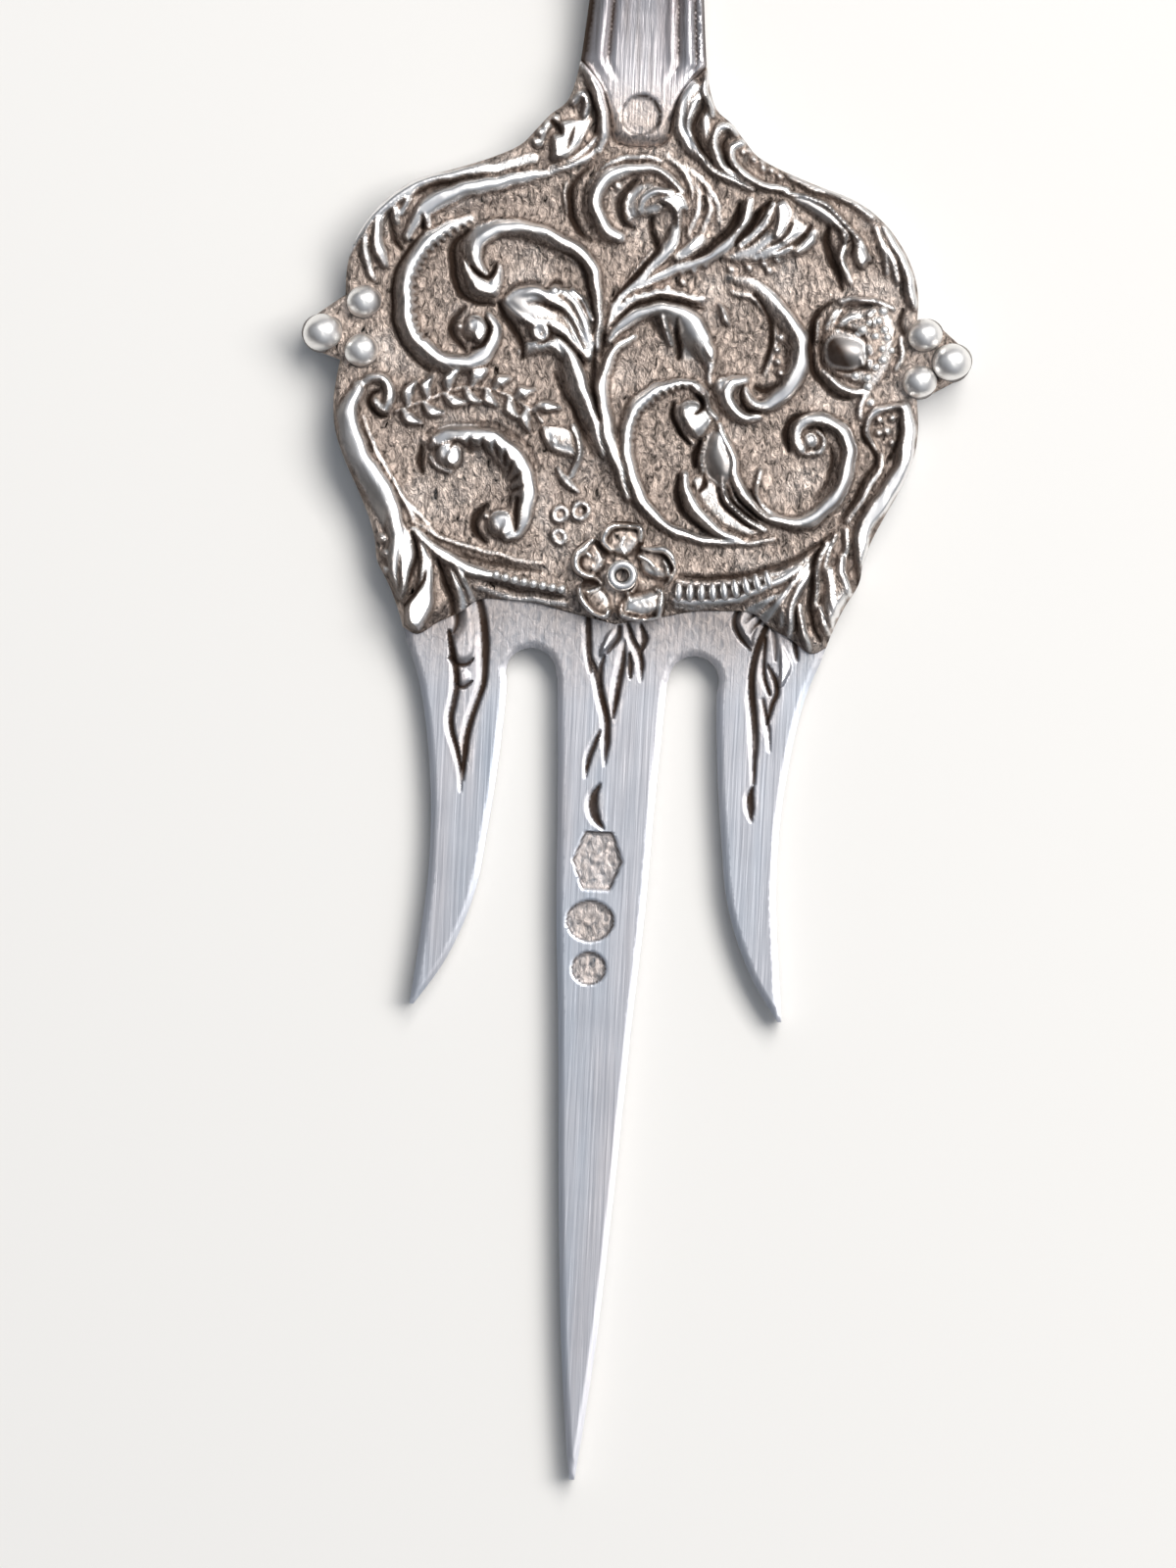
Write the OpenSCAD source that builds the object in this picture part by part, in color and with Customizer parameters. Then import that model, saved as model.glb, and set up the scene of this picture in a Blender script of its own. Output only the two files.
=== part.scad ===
// Silver cake fork: a sawn tine plate with a struck scroll plaque, a reeded stem and a filled handle.
// Origin: middle of the head on its flat back. X across the head, Y towards the handle, Z up.

/* [Head] */
// Width of the head across its rim, without the beads
head_w = 26.4; // [22:0.1:32]
// Length of the head from the slot roots to the neck
head_l = 26.7; // [22:0.1:32]
// Thickness of the tine plate
plate_t = 1.2; // [0.8:0.1:2]
// Thickness of the plaque's ground
plaque_t = 0.5; // [0.3:0.1:1]
// Height of the tallest scrolls over the ground
relief_h = 0.9; // [0.4:0.1:1.4]

/* [Tines] */
// Length of the centre tine from the slot roots
centre_tine_l = 37.6; // [28:0.1:48]
// Length of the side tines from the slot roots
side_tine_l = 16.4; // [10:0.1:24]
// Width of each slot between the tines
slot_w = 2.3; // [1.6:0.1:3]
// Distance between the centre lines of the two slots
slot_pitch = 7.4; // [6.6:0.1:9]

/* [Rosette and beads] */
// Diameter of the rosette across its petals
rosette_d = 4.8; // [3.6:0.1:6]
// Diameter of each petal
petal_d = 2.1; // [1.4:0.1:2.6]
// Height of the petals
petal_h = 0.8; // [0.5:0.1:1.4]
// Thickness of the rosette's middle, under the rivet's head
rosette_t = 0.5; // [0.3:0.1:0.8]
// Diameter of the rivet's shank
rivet_d = 0.8; // [0.6:0.1:1.2]
// Diameter of the rivet's ring-shaped head
rivet_head_d = 1.4; // [1.3:0.1:2]
// Height of the rivet's head
rivet_head_h = 0.4; // [0.2:0.1:0.8]
// Diameter of the hole in the rivet's head
rivet_hole_d = 0.5; // [0.3:0.1:0.6]
// Diameter of the inner beads at the sides of the head
bead_d = 1.5; // [1:0.1:2]
// Diameter of the outermost bead on each side
outer_bead_d = 1.7; // [1:0.1:2.2]

/* [Stem] */
// Length of the stem from the neck to the collar
stem_l = 18; // [12:0.5:30]
// Width of the stem at the neck
neck_w = 5.7; // [5:0.1:6.4]
// Height of the stem's foot over the tine plate
foot_h = 0.8; // [0.5:0.1:1.4]
// Diameter of the stem's round end in the collar
shank_d = 3.4; // [2.6:0.1:4.2]
// Length of the tang inside the handle
tang_l = 42; // [20:1:52]
// Diameter of the tang at the handle's mouth
tang_d = 3; // [2:0.1:3.4]
// Diameter of the tang's end
tang_tip_d = 1.6; // [1:0.1:2]

/* [Collar] */
// Diameter of the collar across its bead
collar_d = 7.8; // [7:0.1:10]
// Length of the collar along the stem
collar_l = 2.8; // [2:0.1:5]
// Diameter of the round bead's section
collar_bead_d = 1.7; // [1:0.1:2]

/* [Handle] */
// Length of the handle behind the collar
handle_l = 71; // [60:1:90]
// Greatest width of the handle
handle_w = 14; // [11:0.5:18]
// Greatest thickness of the handle
handle_t = 8; // [7:0.5:11]
// Wall of the two handle shells
shell_t = 0.6; // [0.4:0.1:1]

/* [Fits] */
// Radial clearance round the rivet, the rosette and the stem's round end
fit_gap = 0.02; // [0.01:0.01:0.05]

/* [Hidden] */
$fn = 48;
// Head width and length that the ornament's points are drawn at
drawn_w = 26.4;
drawn_l = 26.7;
draw_scale = head_w / drawn_w;
// Levels and stations of the assembly
ground_z = plate_t + plaque_t;
foot_z = plate_t + foot_h;
axis_z = max(handle_t, collar_d) / 2;
root_y = -head_l / 2;
neck_y = head_l / 2;
collar_y = neck_y + stem_l;
handle_y = collar_y + collar_l;
// Straight steps between two drawn points
edge_steps = 4;
stroke_steps = 3;
// How far a scroll starts below the ground, so that it is one with it
sink = 0.1;
// How far the stem's lengths run into each other, so that they are one
lap = 0.5;
// Least half width of the handle's inner face, where its end closes
least_half_w = 0.15;
// Share of a scroll's or boss's base width that its crest keeps, and of a boss's height that is upright
crest_share = 0.34;
boss_crest_share = 0.5;
boss_wall_share = 0.4;
// Share of a petal's height left under its cup, and of a bead's size that its centre is lifted by
cup_share = 0.5;
bead_lift_share = 0.2;
silver = [0.72, 0.70, 0.68];
dark_silver = [0.52, 0.48, 0.45];
resin = [0.35, 0.27, 0.20];

// Right edge of the head, from below the neck to the slot root
head_edge = [[3.05, 12.3], [3.4, 11.4], [4.1, 10.8], [4.7, 10.1], [5.4, 9.35], [6.6, 8.75], [8.2, 8.15],
             [9.7, 7.65], [10.9, 6.95], [11.9, 5.9], [12.6, 4.7], [12.95, 3.4], [12.95, 1.5], [13, -0.3],
             [13.2, -1.8], [13.25, -2.8], [13.1, -4], [12.6, -5.3], [11.9, -6.7], [11.35, -7.9],
             [11.05, -8.9], [10.9, -9.8], [10.3, -10.9], [9.8, -12.1], [9.4, -13.35]];
// Outer edge of a side tine: distance from the middle, and share of the tine's length
side_edge = [[9.4, 0], [8.78, 0.1], [8.3, 0.24], [7.98, 0.4], [7.87, 0.53], [7.9, 0.65], [8.05, 0.77],
             [8.25, 0.89], [8.45, 1]];
// Width of a side tine as a share of its root, along its length
side_taper = [[0, 1], [0.1, 0.88], [0.24, 0.75], [0.4, 0.63], [0.53, 0.55], [0.65, 0.5], [0.77, 0.41],
              [0.89, 0.26], [1, 0.04]];
// Half width of the centre tine as a share of its root, along its length
centre_taper = [[0, 1], [0.18, 0.86], [0.31, 0.79], [0.44, 0.66], [0.6, 0.535], [0.71, 0.44], [0.815, 0.335],
                [0.92, 0.19], [1, 0.05]];
// Lower edge of the plaque on the right half, from the side tine to the middle
plaque_foot = [[9.6, -12.7], [8.9, -13], [8, -12.4], [7, -11.9], [6.2, -11.3], [5, -11.25], [3.5, -11.35],
               [2, -11.7], [0, -12.1]];
// Right edge of the stem's foot between the shoulder leaves, and its end at the top scroll
foot_edge = [[1.9, 12.2], [1.4, 11], [1.25, 9.9], [0.7, 9.6], [0, 9.55]];
// Half width of the stem as a share of its neck, along its length
stem_taper = [[0, 1], [0.1, 0.94], [0.3, 0.84], [0.55, 0.74], [0.8, 0.68]];
// Half width and half thickness of the handle as shares of their greatest, along its length
handle_plan = [[0, 0.48], [0.08, 0.54], [0.2, 0.56], [0.4, 0.66], [0.6, 0.84], [0.74, 0.98], [0.82, 1],
               [0.9, 0.9], [0.95, 0.72], [0.985, 0.45], [1, 0.15]];
handle_side = [[0, 0.78], [0.08, 0.8], [0.2, 0.8], [0.4, 0.86], [0.6, 0.95], [0.74, 1], [0.82, 0.98],
               [0.9, 0.84], [0.95, 0.66], [0.985, 0.4], [1, 0.15]];
ring_steps = 34;
side_steps = 12;
rosette_c = [0.1, -9.85];
petal_angles = [96, 28, -50, -130, 156];
left_bead_c = [[-12.1, 1.9], [-12.1, -0.3], [-13.9, 0.4]];
right_bead_c = [[13.35, 1.65], [13.2, -0.45], [14.6, 0.5]];

// Smooth curve through points
function blend(a, b, c, d, t) =
    b + 0.5 * t * ((c - a) + t * ((2 * a - 5 * b + 4 * c - d) + t * (3 * (b - c) + d - a)));
function smooth(p, n) = [
    for (i = [0 : len(p) - 2])
        for (j = [0 : n - 1])
            blend(p[max(i - 1, 0)], p[i], p[i + 1], p[min(i + 2, len(p) - 1)], j / n),
    p[len(p) - 1]
];
function on_head(p) = [p[0] * head_w / drawn_w, p[1] * head_l / drawn_l];
function all_on_head(points) = [for (p = points) on_head(p)];
function reversed(points) = [for (i = [len(points) - 1 : -1 : 0]) points[i]];
function mirrored(points) = [for (p = reversed(points)) [-p[0], p[1]]];

// Outlines of the head and of each tine, on the right half
slot_r = slot_w / 2;
slot_x = slot_pitch / 2;
slot_c = [slot_x, root_y - slot_r];
centre_root_w = slot_pitch - slot_w;
side_root_w = side_edge[0][0] * draw_scale - slot_x - slot_r;
side_outer = [for (p = smooth(side_edge, edge_steps)) [p[0] * draw_scale, root_y - p[1] * side_tine_l]];
side_width = smooth(side_taper, edge_steps);
side_inner = [for (i = [0 : len(side_outer) - 1]) side_outer[i] - [side_width[i][1] * side_root_w, 0]];
slot_arc = [for (a = [0 : 15 : 180]) slot_c + slot_r * [cos(a), sin(a)]];
centre_right = [
    for (p = smooth(centre_taper, edge_steps))
        [p[1] * centre_root_w / 2, root_y - p[0] * centre_tine_l]
];
neck_corner = [neck_w / 2, neck_y];
head_right = smooth(concat([neck_corner], all_on_head(head_edge)), edge_steps);
below_slot_arc = function (p) p[1] < slot_c[1];
plate_right = concat(
    head_right,
    side_outer,
    [for (p = reversed(side_inner)) if (below_slot_arc(p)) p],
    slot_arc,
    [for (p = centre_right) if (below_slot_arc(p)) p]
);
plaque_bottom = smooth(all_on_head(plaque_foot), edge_steps);
plaque_right = concat([for (p = head_right) if (p[1] > plaque_bottom[0][1]) p], plaque_bottom);
foot_right = smooth(concat([neck_corner], all_on_head(foot_edge)), edge_steps);

// The flat outline that a right half and its mirror image make
module both_halves(right) {
    polygon(concat(right, mirrored(right)));
}

// Lobes of the head that carry the beads
module bead_lobes() {
    for (centres = [left_bead_c, right_bead_c])
        hull()
            for (i = [0 : len(centres) - 1])
                translate(on_head(centres[i])) circle(d = bead_size(i), $fn = 32);
}
function bead_size(i) = i < 2 ? bead_d : outer_bead_d;

module rivet_hole() {
    translate(concat(on_head(rosette_c), -1)) cylinder(d = rivet_d + 2 * fit_gap, h = ground_z + 2);
}

// Countersink in the back of the plate, filled by the rivet's spread foot
module rivet_foot() {
    cylinder(d1 = rivet_head_d, d2 = rivet_d, h = plate_t / 2);
}

// Sawn plate with three tines, flat on its back
module tine_plate() {
    color(silver) difference() {
        union() {
            linear_extrude(plate_t) both_halves(plate_right);
            linear_extrude(plate_t) bead_lobes();
        }
        rivet_hole();
        translate(on_head(rosette_c)) rivet_foot();
    }
}

// One raised scroll: a ridge with sloping sides along drawn points, from its first width to its last
module scroll(points, width, height) {
    path = all_on_head(smooth(points, stroke_steps));
    last = len(path) - 1;
    function left_of(k) =
        let (d = path[min(k + 1, last)] - path[max(k - 1, 0)]) [-d[1], d[0]] / norm(d);
    function half_width(k) = (width[0] + (width[1] - width[0]) * k / last) * draw_scale / 2;
    low_z = ground_z - sink;
    high_z = ground_z + relief_h * height;
    rings = [
        for (k = [0 : last])
            let (side = left_of(k) * half_width(k))
            each [concat(path[k] + side, low_z), concat(path[k] + side * crest_share, high_z),
                  concat(path[k] - side * crest_share, high_z), concat(path[k] - side, low_z)]
    ];
    function id(k, j) = k * 4 + j % 4;
    faces = [
        [0, 1, 2, 3],
        for (k = [0 : last - 1]) for (j = [0 : 3])
            each [[id(k, j), id(k + 1, j), id(k + 1, j + 1)], [id(k, j), id(k + 1, j + 1), id(k, j + 1)]],
        [id(last, 3), id(last, 2), id(last, 1), id(last, 0)]
    ];
    polyhedron(rings, faces);
}

// One round boss, such as the ball at the end of a scroll
module boss(centre, diameter, height) {
    translate(concat(on_head(centre), ground_z - sink)) hull() {
        cylinder(d = diameter * draw_scale, h = sink + relief_h * height * boss_wall_share, $fn = 16);
        cylinder(d = diameter * draw_scale * boss_crest_share, h = sink + relief_h * height, $fn = 16);
    }
}

module rim_scrolls() {
    // Upper left rim with its corner leaves
    scroll([[-3.4, 8.4], [-6.5, 7.7], [-8.9, 7], [-10.2, 5.7], [-10.3, 4.8]], [0.8, 0.9], 0.8);
    scroll([[-11.9, 5.6], [-11.7, 4.7], [-11.2, 3.7]], [0.7, 0.8], 0.7);
    scroll([[-12.2, 5.2], [-12.4, 4.3], [-11.8, 3.1]], [0.5, 0.6], 0.6);
    // Lower left rim with its volute
    scroll([[-11.3, -2.6], [-10.7, -2.3], [-11.4, -1.6], [-12.3, -2.5], [-12.1, -4.4], [-10.9, -6.5],
            [-9.9, -8.2], [-9.6, -10.8]], [0.7, 0.9], 0.9);
    // Upper right rim with its corner leaves
    scroll([[2.4, 9.8], [3.2, 8.6], [5.5, 7.8], [8, 7.5], [9.7, 6.2], [10.3, 4.7]], [0.7, 0.9], 0.8);
    scroll([[4.2, 10.5], [3.5, 10.2], [4.2, 8.8], [6.5, 8.1]], [0.5, 0.5], 0.7);
    scroll([[8.5, 7.8], [10.6, 6.6], [11.7, 5.2], [11.9, 4.2]], [0.5, 0.7], 0.6);
    scroll([[11.5, 6], [12.2, 4.7], [12.5, 3.4]], [0.5, 0.6], 0.6);
    // Lower right rim with its volute
    scroll([[11.6, -3.6], [11.1, -2.7], [11.8, -1.8], [12.6, -2.5], [12.5, -4.4], [11.5, -6.3],
            [10.9, -7.8], [11, -9.5]], [0.6, 0.9], 0.9);
    scroll([[11.3, -4], [10.9, -5.6], [9.9, -7.3]], [0.5, 0.6], 0.6);
    // Lower rims beside the rosette
    scroll([[-9, -8.9], [-7, -9.9], [-5, -10.4], [-2.5, -10.65]], [0.8, 0.7], 0.7);
    scroll([[2.7, -10.6], [5, -10.4], [7, -9.7], [8.4, -8.9]], [0.9, 0.8], 0.7);
}

// A leaf at the right with its mirror image at the left
module leaf_pair(points, width, height) {
    for (side = [-1, 1])
        scroll([for (p = points) [side * p[0], p[1]]], width, height);
}

module shoulder_leaves() {
    leaf_pair([[2.7, 12.7], [2.2, 11.6], [2.05, 10.4], [2.5, 9.5]], [0.5, 1], 0.9);
    leaf_pair([[3.1, 11.1], [3, 10], [3.6, 9.2]], [0.7, 0.9], 0.8);
    leaf_pair([[4, 10.5], [4.2, 9.7], [4.9, 8.9]], [0.6, 0.7], 0.7);
}

module left_scrolls() {
    // Upper scroll and the lobed leaf under it
    scroll([[-1.4, 0.6], [-1.7, 3], [-3, 5.1], [-4.8, 5.65], [-6.6, 5.1], [-7.5, 4], [-7.2, 2.7],
            [-6.3, 2.3]], [0.7, 1], 1);
    boss([-6.4, 2.95], 1.3, 0.9);
    scroll([[-1.6, 0.5], [-3, 2], [-4.4, 2.4], [-5.6, 2.2]], [0.6, 1.1], 0.8);
    scroll([[-3, 1.2], [-4.1, 1.1], [-4.8, 0.8]], [0.8, 0.7], 0.7);
    scroll([[-1.2, -4.6], [-2.1, -2.4], [-3.2, -0.2], [-4.6, 0.2]], [0.8, 0.7], 0.7);
    // Large open scroll
    scroll([[-7.5, 5.9], [-9.2, 5], [-10.1, 3], [-9.9, 1], [-8.7, -0.3], [-7.3, -0.5], [-6.1, 0.4],
            [-6.6, 1.4]], [0.8, 0.9], 1);
    boss([-6.9, 0.8], 1.3, 0.9);
    // Leaf garland and the hooked scroll under it
    scroll([[-10.2, -2.9], [-8.5, -2.1], [-6.7, -1.6], [-5.2, -2], [-3.8, -3], [-2.7, -4.4], [-2.1, -6.6]],
           [0.9, 0.6], 0.7);
    scroll([[-8.5, -4.3], [-6.8, -3.8], [-5.1, -4.4], [-4.2, -5.8], [-4.2, -7.5], [-5.2, -8.3]],
           [0.9, 0.8], 0.9);
    boss([-7.9, -4.8], 1.3, 0.8);
    boss([-5.5, -7.6], 1.2, 0.8);
}

module right_scrolls() {
    // Trunk and the round scroll at the top
    scroll([[0.5, -6.7], [-0.6, -4.4], [-1.3, -1.8], [-1.4, 0.6]], [1.1, 0.8], 0.9);
    scroll([[-1.2, 1.6], [0.2, 3.8], [1.8, 5.4], [2.1, 7], [1, 8.4], [-0.9, 8.4], [-1.8, 7], [-0.8, 5.6]],
           [0.6, 0.9], 1);
    boss([0.5, 7], 1.4, 0.8);
    // Leaf fan
    scroll([[0.2, 3.3], [2.4, 4.3], [4.4, 5.4], [5.2, 7]], [0.6, 0.9], 0.8);
    scroll([[3, 4.3], [5, 5.2], [6.8, 7.4]], [0.7, 1.1], 0.9);
    scroll([[4.6, 4.5], [6.8, 5.1], [8.3, 6]], [0.7, 0.8], 0.7);
    // Drooping leaf and the scroll that goes over it
    scroll([[-1.2, 0], [-0.2, 2], [1.6, 2.5], [3.2, 1.8], [3.9, 0]], [0.6, 1.1], 0.9);
    scroll([[3.4, 3.7], [5.6, 3.5], [7.2, 2.3], [7.8, 0.4], [7.1, -1.4], [5.8, -2], [4.9, -1.4]],
           [0.7, 0.9], 0.9);
    // Bud scroll, and the large spiral leaf with its side ridges
    scroll([[1.9, -7.5], [0.6, -6], [0.2, -3.6], [1.1, -1.7], [2.5, -1], [3.6, -1.7], [3.2, -2.8]],
           [0.8, 0.9], 0.9);
    scroll([[1.9, -7.6], [3.6, -8.1], [6, -8.1], [8, -7.8]], [0.6, 0.6], 0.6);
    scroll([[2.9, -5.4], [3.6, -6.9], [5.4, -7.7]], [0.6, 0.5], 0.7);
    scroll([[4.3, -2.9], [4.9, -4.7], [5.7, -6.1], [7.2, -6.9], [8.9, -6.6], [10.1, -5], [10, -3.2],
            [8.8, -2.2], [7.8, -2.8], [8.1, -3.7]], [1.2, 0.8], 1);
    // Seed pod and the drop leaf over it
    boss([10.5, 1.2], 3.8, 0.9);
    scroll([[9.2, 6], [9, 5], [9.4, 3.9]], [0.6, 0.7], 0.6);
}

module corner_leaves() {
    leaf_pair([[9.6, -9], [9.7, -10.4], [9.5, -12]], [0.6, 0.8], 0.6);
    leaf_pair([[8.6, -9.8], [8.3, -11.3], [8.7, -12.5]], [0.8, 0.9], 0.7);
    leaf_pair([[7.7, -9.8], [7, -10.9], [6.6, -11.4]], [0.7, 0.5], 0.6);
}

// Room that the relief leaves for the rosette and the beads
module seat(centre, diameter) {
    translate(concat(on_head(centre), ground_z)) cylinder(d = diameter + 2 * fit_gap, h = relief_h + 1);
}

module seats() {
    seat(rosette_c, rosette_d);
    for (centres = [left_bead_c, right_bead_c])
        for (i = [0 : len(centres) - 1])
            seat(centres[i], bead_size(i));
}

// Struck plaque with rim, scrolls and leaves, soldered to the plate and notched for the stem's foot
module ornament_plaque() {
    color(dark_silver) difference() {
        union() {
            translate([0, 0, plate_t]) linear_extrude(plaque_t) {
                both_halves(plaque_right);
                bead_lobes();
            }
            intersection() {
                union() {
                    rim_scrolls();
                    shoulder_leaves();
                    left_scrolls();
                    right_scrolls();
                    corner_leaves();
                }
                linear_extrude(ground_z + relief_h + 1) both_halves(plaque_right);
            }
        }
        translate([0, 0, plate_t - 1]) linear_extrude(relief_h + plaque_t + 2) both_halves(foot_right);
        seats();
        rivet_hole();
    }
}

// Five cupped petals round a flat middle
module rosette() {
    petal_reach = (rosette_d - petal_d) / 2;
    color(silver) translate(concat(on_head(rosette_c), ground_z)) difference() {
        union() {
            cylinder(d = 2 * petal_reach, h = rosette_t);
            for (a = petal_angles)
                rotate(a) translate([petal_reach, 0, 0]) cylinder(d = petal_d, h = petal_h);
        }
        for (a = petal_angles)
            rotate(a) translate([petal_reach, 0, petal_h * cup_share + petal_d / 2]) sphere(d = petal_d);
        translate([0, 0, rosette_t]) cylinder(d = rivet_head_d + 2 * fit_gap, h = petal_h);
        translate([0, 0, -1]) cylinder(d = rivet_d + 2 * fit_gap, h = petal_h + 2);
    }
}

// Tubular rivet that holds the rosette, spread into the plate's back
module rosette_rivet() {
    head_z = ground_z + rosette_t;
    color(silver) translate(on_head(rosette_c)) difference() {
        union() {
            rivet_foot();
            cylinder(d = rivet_d, h = head_z + rivet_head_h / 2);
            translate([0, 0, head_z]) cylinder(d = rivet_head_d, h = rivet_head_h);
        }
        translate([0, 0, ground_z]) cylinder(d = rivet_hole_d, h = rosette_t + rivet_head_h + 1);
    }
}

// Three balls soldered on the lobes at one side of the head
module beads(centres) {
    for (i = [0 : len(centres) - 1])
        translate(concat(on_head(centres[i]), ground_z)) intersection() {
            translate([0, 0, bead_size(i) * bead_lift_share]) sphere(d = bead_size(i));
            cylinder(d = bead_size(i) + 1, h = bead_size(i) + 1);
        }
}

module left_beads() {
    color(silver) beads(left_bead_c);
}

module right_beads() {
    color(silver) beads(right_bead_c);
}

// The stem rises in a gentle S from the head's level to the handle's axis
function ease(t) = t * t * (3 - 2 * t);
function stem_low(t) = (axis_z - shank_d / 2) * ease(t);
function stem_high(t) = foot_z + (axis_z + shank_d / 2 - foot_z) * ease(t);

// Strap with a foot between the shoulder leaves, a round end in the collar and a tang in the handle
module stem() {
    stations = [for (i = [0 : 16]) i / 16];
    plan = concat(
        [for (p = smooth(stem_taper, edge_steps)) [p[1] * neck_w / 2, neck_y + p[0] * stem_l]],
        [[shank_d / 2, collar_y]]
    );
    side = concat(
        [for (t = stations) [neck_y + t * stem_l, stem_low(t)]],
        [for (t = reversed(stations)) [neck_y + t * stem_l, stem_high(t)]]
    );
    color(silver) {
        translate([0, 0, plate_t]) linear_extrude(foot_h) both_halves(foot_right);
        intersection() {
            linear_extrude(axis_z + shank_d) both_halves(plan);
            translate([-neck_w, 0, 0]) rotate([90, 0, 90]) linear_extrude(2 * neck_w) polygon(side);
        }
        translate([-neck_w / 4, neck_y - lap, plate_t]) cube([neck_w / 2, 2 * lap, foot_h]);
        translate([0, collar_y, axis_z]) rotate([-90, 0, 0]) {
            cylinder(d = shank_d, h = collar_l);
            translate([0, 0, -lap]) cylinder(d = tang_tip_d, h = collar_l + 2 * lap);
        }
        tang();
    }
}

module tang() {
    translate([0, handle_y, axis_z]) rotate([-90, 0, 0]) cylinder(d1 = tang_d, d2 = tang_tip_d, h = tang_l);
}

// Turned ferrule with a round bead between two fillets
module collar() {
    bead_r = collar_bead_d / 2;
    fillet_d = collar_d - bead_r;
    color(silver) translate([0, collar_y, axis_z]) rotate([-90, 0, 0]) difference() {
        union() {
            cylinder(d = fillet_d, h = collar_l);
            translate([0, 0, collar_l / 2])
                rotate_extrude()
                    translate([collar_d / 2 - bead_r, 0]) circle(bead_r);
        }
        translate([0, 0, -1]) cylinder(d = shank_d + 2 * fit_gap, h = collar_l + 2);
    }
}

// Rings of points along the handle, shrunk by an inset for the inner face; up is 1 for the front half
ring_shares = [for (i = [0 : ring_steps]) sin(90 * i / ring_steps)];
function handle_ring(t, inset, up) =
    let (
        a = max(lookup(t, handle_plan_fine) * handle_w / 2 - inset, least_half_w),
        b = max(lookup(t, handle_side_fine) * handle_t / 2 - inset, least_half_w),
        y = handle_y + t * (handle_l - inset)
    )
    [
        for (j = [0 : side_steps])
            let (turn = 180 * j / side_steps) [a * cos(turn), y, axis_z + up * b * sin(turn)]
    ];
handle_plan_fine = smooth(handle_plan, edge_steps);
handle_side_fine = smooth(handle_side, edge_steps);

// One half of the handle's skin: outer face, inner face, seam edges, mouth edge and closed end
module handle_shell(up) {
    rows = ring_steps + 1;
    cols = side_steps + 1;
    outer = [for (t = ring_shares) each handle_ring(t, 0, up)];
    inner = [for (t = ring_shares) each handle_ring(t, shell_t, up)];
    function out_id(i, j) = i * cols + j;
    function in_id(i, j) = rows * cols + i * cols + j;
    end = ring_steps;
    faces = [
        for (i = [0 : ring_steps - 1]) for (j = [0 : side_steps - 1])
            each [[out_id(i, j), out_id(i + 1, j), out_id(i + 1, j + 1)],
                  [out_id(i, j), out_id(i + 1, j + 1), out_id(i, j + 1)],
                  [in_id(i, j), in_id(i + 1, j + 1), in_id(i + 1, j)],
                  [in_id(i, j), in_id(i, j + 1), in_id(i + 1, j + 1)]],
        for (i = [0 : ring_steps - 1])
            each [[out_id(i, 0), in_id(i, 0), in_id(i + 1, 0), out_id(i + 1, 0)],
                  [out_id(i, side_steps), out_id(i + 1, side_steps),
                   in_id(i + 1, side_steps), in_id(i, side_steps)]],
        for (j = [0 : side_steps - 1])
            [out_id(0, j), out_id(0, j + 1), in_id(0, j + 1), in_id(0, j)],
        [for (j = [0 : side_steps]) out_id(end, side_steps - j)],
        [for (j = [0 : side_steps]) in_id(end, j)],
        [out_id(end, 0), in_id(end, 0), in_id(end, side_steps), out_id(end, side_steps)]
    ];
    polyhedron(concat(outer, inner), up > 0 ? faces : [for (f = faces) reversed(f)]);
}

module handle_front() {
    color(silver) handle_shell(1);
}

module handle_back() {
    color(silver) handle_shell(-1);
}

// Resin core cast between the shells and round the tang
module handle_filling() {
    sides = 2 * side_steps;
    points = [
        for (t = ring_shares)
            let (front = handle_ring(t, shell_t, 1), back = handle_ring(t, shell_t, -1))
            each concat(front, [for (j = [side_steps - 1 : -1 : 1]) back[j]])
    ];
    function id(i, j) = i * sides + j % sides;
    faces = [
        for (i = [0 : ring_steps - 1]) for (j = [0 : sides - 1])
            each [[id(i, j), id(i + 1, j), id(i + 1, j + 1)], [id(i, j), id(i + 1, j + 1), id(i, j + 1)]],
        [for (j = [0 : sides - 1]) id(0, j)],
        [for (j = [0 : sides - 1]) id(ring_steps, sides - 1 - j)]
    ];
    color(resin) difference() {
        polyhedron(points, faces);
        tang();
    }
}

tine_plate();
ornament_plaque();
rosette();
rosette_rivet();
left_beads();
right_beads();
stem();
collar();
handle_front();
handle_back();
handle_filling();
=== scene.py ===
import bmesh
import bpy
import numpy as np
from mathutils import Matrix, Vector
from mathutils.geometry import delaunay_2d_cdt
from mathutils.kdtree import KDTree


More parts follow.
